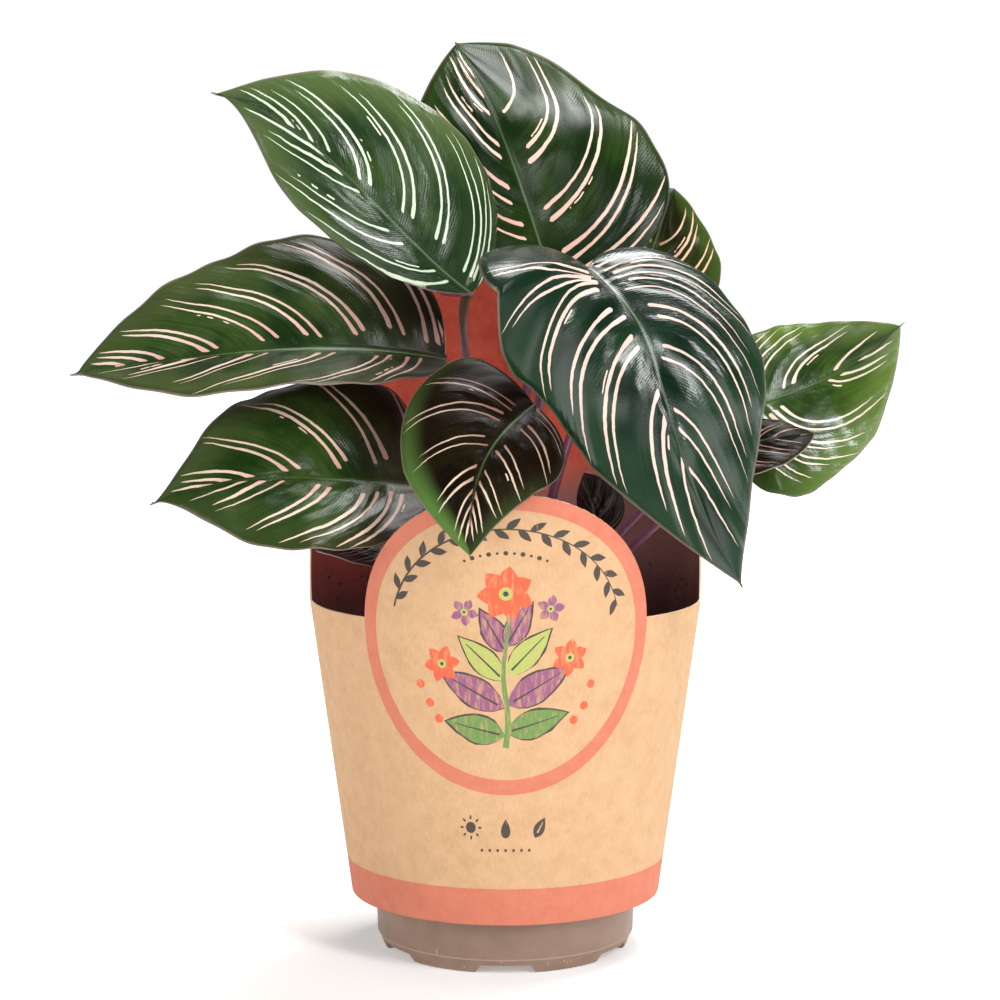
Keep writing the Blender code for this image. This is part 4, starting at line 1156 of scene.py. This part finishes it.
def crumb_tree():
    t, given = new_tree("soil_crumbs", {"Per Square Metre": "Float", "Smallest": "Float",
                                        "Largest": "Float", "Seed": "Int", "Skin": "Material"})
    seats = node(t, "GeometryNodeDistributePointsOnFaces", given["Geometry"], True,
                 given["Per Square Metre"], given["Seed"])
    ball = node(t, "GeometryNodeMeshIcoSphere", 1.0, 1)
    size = node(t, "FunctionNodeRandomValue", None, None, None, given["Seed"], data_type="FLOAT")
    size = node(t, MATH, size, 3.0, operation="POWER")
    size = node(t, RANGE, size, 0.0, 1.0, given["Smallest"], given["Largest"])
    shape = node(t, "FunctionNodeRandomValue", (0.5, 0.6, 0.4), (1.2, 1.3, 0.9), None, 7,
                 data_type="FLOAT_VECTOR")
    turn = node(t, "FunctionNodeRandomValue", (0, 0, 0), (math.tau, math.tau, math.tau), None, 9,
                data_type="FLOAT_VECTOR")
    scale = node(t, VECTOR, shape, size, operation="SCALE")
    crumbs = node(t, "GeometryNodeInstanceOnPoints", seats, True, ball, False, None, turn, scale)
    close_tree(t, crumbs, given["Skin"])
    return t


def joined(meshes):
    """Several plain meshes as one, each with its own material."""
    bm = bmesh.new()
    total = bpy.data.meshes.new("joined")
    for slot_number, mesh in enumerate(meshes):
        first = len(bm.faces)
        bm.from_mesh(mesh)
        bm.faces.ensure_lookup_table()
        for face in bm.faces[first:]:
            face.material_index = slot_number
        total.materials.append([material for material in mesh.materials if material][0])
    bm.to_mesh(total)
    bm.free()
    return total


wall = pot_inner_radius(SOIL_EDGE) - CLEARANCE
rings = [(wall * (1 - step / SOIL_RINGS),
          SOIL_EDGE + (SOIL_CROWN - SOIL_EDGE) * min(1, step / (SOIL_RINGS / 2)))
         for step in range(SOIL_RINGS + 1)]
floor_edge = (POT_STEP_RADIUS - POT_WALL - CLEARANCE, POT_FLOOR + CLEARANCE)
side = (pot_inner_radius(POT_FOOT_HEIGHT) - CLEARANCE, POT_FOOT_HEIGHT)
mound = turned([(0, POT_FLOOR + CLEARANCE), floor_edge, side] + rings, SOIL_STEPS)
chance = random.Random(3)
for vertex in mound.vertices:
    if vertex.co.z > (SOIL_EDGE - 0.5) * MM:
        vertex.co.z += chance.uniform(*MOUND_ROUGHNESS) * MM
mound.materials.append(peat("moist_peat", "#140D0A", "#3A281D"))
top_bm = bmesh.new()
top_bm.from_mesh(mound)
low_faces = [face for face in top_bm.faces if face.calc_center_median().z < (SOIL_EDGE - 0.5) * MM]
bmesh.ops.delete(top_bm, geom=low_faces, context="FACES")
top = bpy.data.meshes.new("soil_top")
top_bm.to_mesh(top)
top_bm.free()
CRUMB_TREE = crumb_tree()
crumbs = grow(top, CRUMB_TREE, {"Per Square Metre": CRUMBS_PER_AREA, "Smallest": CRUMB_SIZES[0] * MM,
                                "Largest": CRUMB_SIZES[1] * MM, "Seed": 5,
                                "Skin": peat("peat_crumbs", "#1B120D", "#54402F")})
soil = finish_piece("potting_soil", joined([mound, crumbs]), ["soil"])
print("faces in the soil:", len(soil.data.polygons))

# %% [markdown]
# ## Card sleeve
# The sleeve is cut from one sheet of kraft card, printed flat, rolled round the pot and glued at the
# back. Its front has a disc that stands above the edge, and its back rises behind the plant. It is
# made the same way here: the print is drawn flat in millimetres as outlines, a triangulation cuts the
# sheet along all of them, and then the sheet is bent. Every printed shape so becomes faces with their
# own ink, sharp at any distance, which a noise pattern or a picture can't give.

# %% Sleeve sizes
SLEEVE_BOTTOM = 18.6
SLEEVE_FRONT_TOP = 118
SLEEVE_HALF_WIDTH_BOTTOM = 51.8
SLEEVE_HALF_WIDTH_TOP = 65.5
SLEEVE_FLATTENING = 2
SLEEVE_CARD = 0.6
SLEEVE_BACK_RISE = 127
SLEEVE_BACK_CURVE = 1.2
SLEEVE_LAP = 12
LAP_LIFT = 0.65
LAP_FROM = 1.94
LAP_EASE = 0.06
SHEET_STEP = 3.0
DISC_HEIGHT = 111.2
DISC_HALF_WIDTH = 50
DISC_HALF_HEIGHT = 48.7
RING_WIDTH = 5
BAND_HEIGHT = 12.3


def sleeve_half_width(height):
    share = (height - SLEEVE_BOTTOM) / (SLEEVE_FRONT_TOP - SLEEVE_BOTTOM)
    return SLEEVE_HALF_WIDTH_BOTTOM + share * (SLEEVE_HALF_WIDTH_TOP - SLEEVE_HALF_WIDTH_BOTTOM)


QUARTER = math.pi / 2 * sleeve_half_width(DISC_HEIGHT)


def bent(across, height):
    """The sheet's point, wrapped: a quarter of the way round is QUARTER millimetres across."""
    turn = across / QUARTER
    lift = 0.0
    if turn > LAP_FROM:
        step = min(1.0, (turn - LAP_FROM) / LAP_EASE)
        lift = LAP_LIFT * step * step * (3 - 2 * step)
    if turn > 2:
        turn -= 4
    width = sleeve_half_width(height)
    radius = math.hypot(width, SLEEVE_FLATTENING) + lift
    corner = math.atan2(width, SLEEVE_FLATTENING)
    back = abs(turn) > 1
    angle = corner * (2 - abs(turn) if back else abs(turn))
    x = math.copysign(radius * math.sin(angle), turn)
    y = radius * math.cos(angle) - SLEEVE_FLATTENING
    return Vector((x, y if back else -y, height)) * MM


def back_top(turn):
    turn = 4 - turn if turn > 2 else turn
    return SLEEVE_FRONT_TOP + SLEEVE_BACK_RISE * math.sin(math.pi / 2 * (abs(turn) - 1)) ** SLEEVE_BACK_CURVE


def sheet_outline():
    """The cut sheet, counterclockwise from the lower left corner, in millimetres."""
    left, right = -2 * QUARTER, 2 * QUARTER + SLEEVE_LAP
    count = round((right - left) / SHEET_STEP)
    outline = [(left + (right - left) * step / count, SLEEVE_BOTTOM) for step in range(count + 1)]
    turns = np.linspace(right / QUARTER, 1, 48)
    outline += [(turn * QUARTER, back_top(turn)) for turn in turns]
    reach = math.acos((SLEEVE_FRONT_TOP - DISC_HEIGHT) / DISC_HALF_HEIGHT)
    disc_edge = DISC_HALF_WIDTH * math.sin(reach)
    outline += [(x, SLEEVE_FRONT_TOP) for x in np.linspace(QUARTER, disc_edge, 14)[1:-1]]
    outline += [(DISC_HALF_WIDTH * math.sin(angle), DISC_HEIGHT + DISC_HALF_HEIGHT * math.cos(angle))
                for angle in np.linspace(reach, -reach, 64)]
    outline += [(x, SLEEVE_FRONT_TOP) for x in np.linspace(-disc_edge, -QUARTER, 14)[1:-1]]
    outline += [(-turn * QUARTER, back_top(turn)) for turn in np.linspace(1, 2, 44)]
    return [(float(x), float(z)) for x, z in outline]


OUTLINE = sheet_outline()
print("sheet is", round(OUTLINE[0][0] * -2 + SLEEVE_LAP), "mm long, with a lap of", SLEEVE_LAP)

# %% [markdown]
# ## What is printed on the card
# The print has a coral band at the foot, a coral ring round the disc, a garland of small dark leaves
# inside the ring, a flowering sprig in crayon colours in the middle, and three small care signs below:
# sun, drop and leaf. The shapes are drawn by a few rules, such as a pointed leaf or a petal, and a
# small seeded wobble keeps them from looking machine-made.

# %% Print shapes
GARLAND_RADII = (38.6, 37.6)
DOT_RADII = (30.5, 30)

hand = random.Random(11)
PRINT = []


def stamp(ink, points, wobble=0.12):
    """Keep a shape for the print, with the slight wobble of a hand."""
    area = sum(a[0] * b[1] - b[0] * a[1] for a, b in zip(points, points[1:] + points[:1]))
    ordered = points if area > 0 else points[::-1]
    PRINT.append((ink, [(x + hand.uniform(-wobble, wobble), z + hand.uniform(-wobble, wobble))
                        for x, z in ordered]))


def leaf_outline(foot, turn, length, width, steps=7, fullness=0.8):
    """A pointed leaf or petal from its foot, turned so many degrees from straight up."""
    lean = math.radians(turn)
    points = []
    for side, order in ((1, range(steps)), (-1, range(steps, 0, -1))):
        for step in order:
            share = step / steps
            half = side * width / 2 * math.sin(math.pi * share ** fullness)
            points.append((foot[0] + half * math.cos(lean) + length * share * math.sin(lean),
                           foot[1] - half * math.sin(lean) + length * share * math.cos(lean)))
    return points


def dot_outline(middle, radius, steps=14, squash=1.0):
    return [(middle[0] + radius * math.cos(math.tau * step / steps),
             middle[1] + squash * radius * math.sin(math.tau * step / steps)) for step in range(steps)]


def stroke_outline(route, width):
    """A brush stroke along a route, tapering to its end."""
    left, right = [], []
    for index, (x, z) in enumerate(route):
        after, before = route[min(index + 1, len(route) - 1)], route[max(index - 1, 0)]
        along = math.hypot(after[0] - before[0], after[1] - before[1])
        aside = ((before[1] - after[1]) / along, (after[0] - before[0]) / along)
        half = width / 2 * (1 - 0.6 * index / (len(route) - 1))
        left.append((x + aside[0] * half, z + aside[1] * half))
        right.append((x - aside[0] * half, z - aside[1] * half))
    return left + right[::-1]


def flower(middle, radius, petals, ink, turn=0.0):
    for petal in range(petals):
        stamp(ink, leaf_outline(middle, turn + 360 * petal / petals, radius, radius * 0.62, 6, 1.25))
    stamp("yellow_green", dot_outline(middle, radius * 0.24), 0.05)
    stamp("dark", dot_outline(middle, radius * 0.1, 8), 0.03)


def on_ring(radii, degrees):
    """A point on an ellipse round the middle of the disc."""
    angle = math.radians(degrees)
    return radii[0] * math.cos(angle), DISC_HEIGHT + radii[1] * math.sin(angle)


# Garland along the inside of the ring
for step in range(27):
    degrees = 158 - step * 136 / 26
    tilt = 90 - degrees + 90 + (-38 if step % 2 else 38)
    stamp("dark", leaf_outline(on_ring(GARLAND_RADII, degrees), tilt, 5.6, 2.3, 6, 0.9), 0.08)
garland = [on_ring(GARLAND_RADII, 162 - step * 144 / 40) for step in range(41)]
stamp("dark", stroke_outline(garland, 0.7), 0.03)
for step in range(11):
    stamp("dark", dot_outline(on_ring(DOT_RADII, 114 - step * 4.8), 0.75 if step % 2 else 0.45, 10), 0.03)

# Flowering sprig in the middle
SPRIG_FOOT = (0.0, DISC_HEIGHT - 33)
for foot, turn, length, width, ink in (
        ((0, 4), -78, 21, 9, "green"), ((0, 5), 74, 22, 9, "green"),
        ((-0.5, 13), -62, 24, 9.5, "purple"), ((0.5, 14), 60, 24, 9.5, "purple"),
        ((-0.5, 22), -46, 20, 8, "yellow_green"), ((0.5, 24), 44, 20, 8, "yellow_green"),
        ((0, 31), -30, 16, 7, "purple"), ((0, 33), 30, 16, 7, "purple")):
    base = (SPRIG_FOOT[0] + foot[0], SPRIG_FOOT[1] + foot[1])
    stamp("dark", leaf_outline(base, turn, length + 0.9, width + 1.1, 9), 0.2)
    stamp(ink, leaf_outline(base, turn, length, width, 9), 0.15)
    lean = math.radians(turn)
    vein = [(base[0] + length * share * math.sin(lean), base[1] + length * share * math.cos(lean))
            for share in (0.1, 0.35, 0.6, 0.85)]
    stamp("dark", stroke_outline(vein, 0.7), 0.05)
stem = [(SPRIG_FOOT[0] + 0.8 * math.sin(step * 0.9), SPRIG_FOOT[1] + 4.6 * step) for step in range(11)]
stamp("green", stroke_outline(stem, 2.2), 0.1)
for x, z, radius, petals, ink, turn in ((0, 50, 9.0, 7, "orange", 8), (-21, 27, 6.2, 6, "orange", 20),
                                        (21, 29, 6.2, 6, "orange", 5), (-13, 44, 4.6, 5, "purple", 30),
                                        (14, 45, 4.6, 5, "purple", 10)):
    flower((x, SPRIG_FOOT[1] + z), radius, petals, ink, turn)
for x, z in ((-26, 14), (-23, 9), (27, 13), (23.5, 8.5), (-29, 20), (29, 20)):
    stamp("orange", dot_outline((x, SPRIG_FOOT[1] + z), 1.5, 12), 0.08)

# Care signs: sun, drop and leaf
SIGNS = 51.5
stamp("dark", dot_outline((-13, SIGNS), 1.9, 16), 0.02)
for ray in range(8):
    lean = math.tau * ray / 8
    foot = (-13 + 2.6 * math.sin(lean), SIGNS + 2.6 * math.cos(lean))
    stamp("dark", leaf_outline(foot, math.degrees(lean), 1.7, 0.8, 4), 0.02)
drop = [(2.3 * math.sin(a) * math.sin(a / 2), SIGNS - 0.2 + 3.2 * math.cos(a))
        for a in (math.tau * step / 20 for step in range(20))]
stamp("dark", drop, 0.01)
stamp("dark", leaf_outline((11, SIGNS - 3.4), 28, 7.6, 4.2, 8), 0.02)
stamp("kraft", stroke_outline([(11.9, SIGNS - 1.8), (12.9, SIGNS), (13.8, SIGNS + 1.7)], 0.6), 0.0)
for x in np.linspace(-9, 9, 7):
    stamp("dark", dot_outline((float(x), SIGNS - 7.5), 0.55, 8), 0.01)
print("printed shapes:", len(PRINT))

# %% [markdown]
# ## From the flat print to the bent card
# The real sleeve is printed and cut flat and rolled afterwards, and the mesh goes the same way. The
# triangulation takes the sheet's outline, the band, the ring and all printed shapes at once, so each
# triangle belongs to the ink that was printed last there. A light grid of points between them lets the
# card bend smoothly. Solidify then gives the card its 0.6 mm. The inner faces and the cut edge get looks
# of their own: coral inside, with painted shade low down that is deep red on the left and greyer with a
# painted sheen on the right, and near black lowest, and bare board at the edge.

# %% Cutting and bending the sheet
# Painted shade and sheen inside the card: the heights where the shade starts and where it is darkest, and
# how it runs across from deep red to greyer
SHADED_BELOW = (172 * MM, 148 * MM)
DARKEST_BELOW = (138 * MM, 116 * MM)
SHADE_AND_SHEEN_ACROSS = (-30 * MM, 40 * MM)
ELLIPSE_STEPS = 96
INKS = ("kraft", "coral", "dark", "green", "yellow_green", "purple", "orange")
left_end, right_end = OUTLINE[0][0], 2 * QUARTER + SLEEVE_LAP
foot_line = [point for point in OUTLINE if point[1] == SLEEVE_BOTTOM]
band = foot_line + [(across, SLEEVE_BOTTOM + BAND_HEIGHT) for across, z in reversed(foot_line)]


def ellipse(inset):
    turns = [math.tau * step / ELLIPSE_STEPS for step in range(ELLIPSE_STEPS)]
    return [((DISC_HALF_WIDTH - inset) * math.cos(turn),
             DISC_HEIGHT + (DISC_HALF_HEIGHT - inset) * math.sin(turn)) for turn in turns]


def cut_sheet():
    """Triangles of the flat sheet, and the ink of each."""
    regions = [("kraft", OUTLINE), ("coral", band), ("coral", ellipse(-0.001)),
               ("kraft", ellipse(RING_WIDTH))] + PRINT
    points, polygons = [], []
    for _, shape in regions:
        polygons.append(list(range(len(points), len(points) + len(shape))))
        points += shape
    for across in np.arange(left_end + SHEET_STEP, right_end, SHEET_STEP):
        turn = abs(across / QUARTER)
        top = back_top(turn) if turn > 1 else SLEEVE_FRONT_TOP
        if abs(across) < DISC_HALF_WIDTH:
            top = DISC_HEIGHT + DISC_HALF_HEIGHT * math.sqrt(1 - (across / DISC_HALF_WIDTH) ** 2)
        points += [(float(across), float(z)) for z in np.arange(SLEEVE_BOTTOM + 4, top - 1.5, 4.0)]
    places, _, faces, _, _, origins = delaunay_2d_cdt(
        [Vector(point) for point in points], [], polygons, 1, 1e-5, True)
    inks = [INKS.index(regions[max(origin)][0]) for origin in origins if origin]
    kept = [face for face, origin in zip(faces, origins) if origin]
    return places, kept, inks


def crayon(name, hex_colour, cover):
    """Ink drawn on card: matt, with the card's fibres showing through between the strokes."""
    ink, t, shader = new_material(name)
    place = node(t, "ShaderNodeTexCoord", out="Object")
    laid = node(t, "ShaderNodeMapping", place, None, (0, 0.7, 0), (1, 1, 0.16))
    strokes = node(t, NOISE, laid, 0.9 / MM, 2.0, 0.6)
    strokes = node(t, RANGE, strokes, cover - 0.12, cover + 0.1, 1.0, 0.35)
    fibres = node(t, NOISE, place, 2.2 / MM, 3.0, 0.7)
    fibres = node(t, RANGE, fibres, 0.3, 0.7, 0.85, 1.12)
    colour = node(t, MIX, strokes, linear("#CDA271"), linear(hex_colour), data_type="RGBA")
    colour = node(t, VECTOR, colour, fibres, operation="SCALE")
    feed(shader, base_color=colour, roughness=0.75)
    return ink


def card(name, pale, dark, flecks, shaded_inside=False):
    """Uncoated kraft board: matt, brown fibres of half a millimetre, and a faint mottle.

    The inside is painted with shade low down, deep red on the left and greyer with a painted sheen on
    the right, and near black lowest."""
    board, t, shader = new_material(name)
    place = node(t, "ShaderNodeTexCoord", out="Object")
    mottle = node(t, NOISE, place, 0.16 / MM, 4.0, 0.65)
    colour = node(t, MIX, node(t, RANGE, mottle, 0.35, 0.68, 0.0, 1.0), linear(pale), linear(dark),
                  data_type="RGBA")
    laid = node(t, "ShaderNodeMapping", place, None, (0.15, 0.1, 0), (1, 1, 0.3))
    fibres = node(t, NOISE, laid, 1.5 / MM, 3.0, 0.7)
    shade = node(t, RANGE, fibres, 0.3, 0.7, 1 - flecks, 1 + flecks)
    colour = node(t, VECTOR, colour, shade, operation="SCALE")
    # Painted shade low down on the inside: deep red on the left, greyer with a painted sheen on the right,
    # near black lowest; the mottle ruffles its upper edge
    if shaded_inside:
        part = node(t, "ShaderNodeSeparateXYZ", place).node.outputs
        height = node(t, MATH, mottle, 14 * MM, part["Z"], operation="MULTIPLY_ADD")
        low_shade = node(t, RANGE, height, *SHADED_BELOW, 0.0, 1.0, interpolation_type="SMOOTHSTEP")
        shade_and_sheen = node(t, RANGE, part["X"], *SHADE_AND_SHEEN_ACROSS, 0.0, 1.0)
        shade_and_sheen = node(t, MIX, shade_and_sheen, linear("#8E3A34"), linear("#98706A"), data_type="RGBA")
        colour = node(t, MIX, low_shade, colour, shade_and_sheen, data_type="RGBA")
        darkest_shade = node(t, RANGE, height, *DARKEST_BELOW, 0.0, 0.7, interpolation_type="SMOOTHSTEP")
        colour = node(t, MIX, darkest_shade, colour, linear("#2A1614"), data_type="RGBA")
    bump = node(t, "ShaderNodeBump", 0.3, 0.08 * MM, None, fibres)
    feed(shader, base_color=colour, roughness=0.8, specular_ior_level=0.35, normal=bump)
    return board


places, faces, inks = cut_sheet()
sheet = bpy.data.meshes.new("sheet")
sheet.from_pydata([bent(x, z) for x, z in places], [], faces)
sheet.polygons.foreach_set("material_index", inks)
rolled = add_object("sheet", sheet)
body = rolled.modifiers.new("card", "SOLIDIFY")
body.thickness = SLEEVE_CARD * MM
body.offset = 0
sleeve_mesh = evaluated_mesh(rolled)
count = len(faces)
sides = inks + [len(INKS)] * count + [len(INKS) + 1] * (len(sleeve_mesh.polygons) - 2 * count)
sleeve = finish_piece("card_sleeve", sleeve_mesh, ["sleeve"], [
    card("kraft_card", "#D3AB83", "#C9A077", 0.06), card("coral_print_on_card", "#D27E65", "#CB755C", 0.04),
    crayon("dark_ink", "#4A4038", 0.75), crayon("green_crayon", "#6E8E4C", 0.62),
    crayon("yellow_green_crayon", "#AEBA62", 0.62), crayon("purple_crayon", "#94587A", 0.58),
    crayon("orange_crayon", "#E0603E", 0.62), card("red_inside_of_card", "#E0624A", "#CC523C", 0.08, True),
    card("cut_edge_of_card", "#E9D3B4", "#DCC09A", 0.05)])
sleeve.data.polygons.foreach_set("material_index", sides)
sleeve.data.set_sharp_from_angle(angle=math.radians(35))
print("faces in the sleeve:", len(sleeve.data.polygons))

# %% [markdown]
# ## Crumbs on the card
# When a plant is sleeved, its leaves brush up some soil, and a few dozen crumbs stay on the inside of
# the card, at the height of its front edge. The soil's own tree scatters them too, over two strips just
# off the card's inner face. They stand for no solid, so this piece replaces none.

# %% Crumbs on the card
CRUMBED = (112, 127)
INSIDE = SLEEVE_CARD * 0.5 + 0.2
STRIPS_OF_CARD = ((1.12, 1.75, 21), (-1.75, -1.12, 22))
CLINGING_PER_AREA = 22000.0
CLINGING_SIZES = (0.4, 0.6)


def inside_strip(first, last, steps=16):
    """A strip of the card's inner face behind the plant, as a base for crumbs."""
    points, strip_faces = [], []
    for step in range(steps + 1):
        turn = first + (last - first) * step / steps
        for height in CRUMBED:
            point = bent(turn * QUARTER, height)
            inward = Vector((-point.x, -point.y, 0)).normalized()
            points.append(point + inward * INSIDE * MM)
    for step in range(steps):
        low = 2 * step
        strip_faces.append((low, low + 1, low + 3, low + 2))
    strip = bpy.data.meshes.new("strip")
    strip.from_pydata(points, [], strip_faces)
    return strip


CRUMB_SKIN = peat("crumbs_on_card", "#1B120D", "#6A503A")
clinging = [grow(inside_strip(first, last), CRUMB_TREE,
                 {"Per Square Metre": CLINGING_PER_AREA, "Smallest": CLINGING_SIZES[0] * MM,
                  "Largest": CLINGING_SIZES[1] * MM, "Seed": seed, "Skin": CRUMB_SKIN})
            for first, last, seed in STRIPS_OF_CARD]
crumbs = joined(clinging)
crumbs.name = "crumbs_on_card"
clinging_crumbs = add_object("crumbs_on_card", crumbs)
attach(clinging_crumbs, BODY)
print("faces in the crumbs on the card:", len(crumbs.polygons))
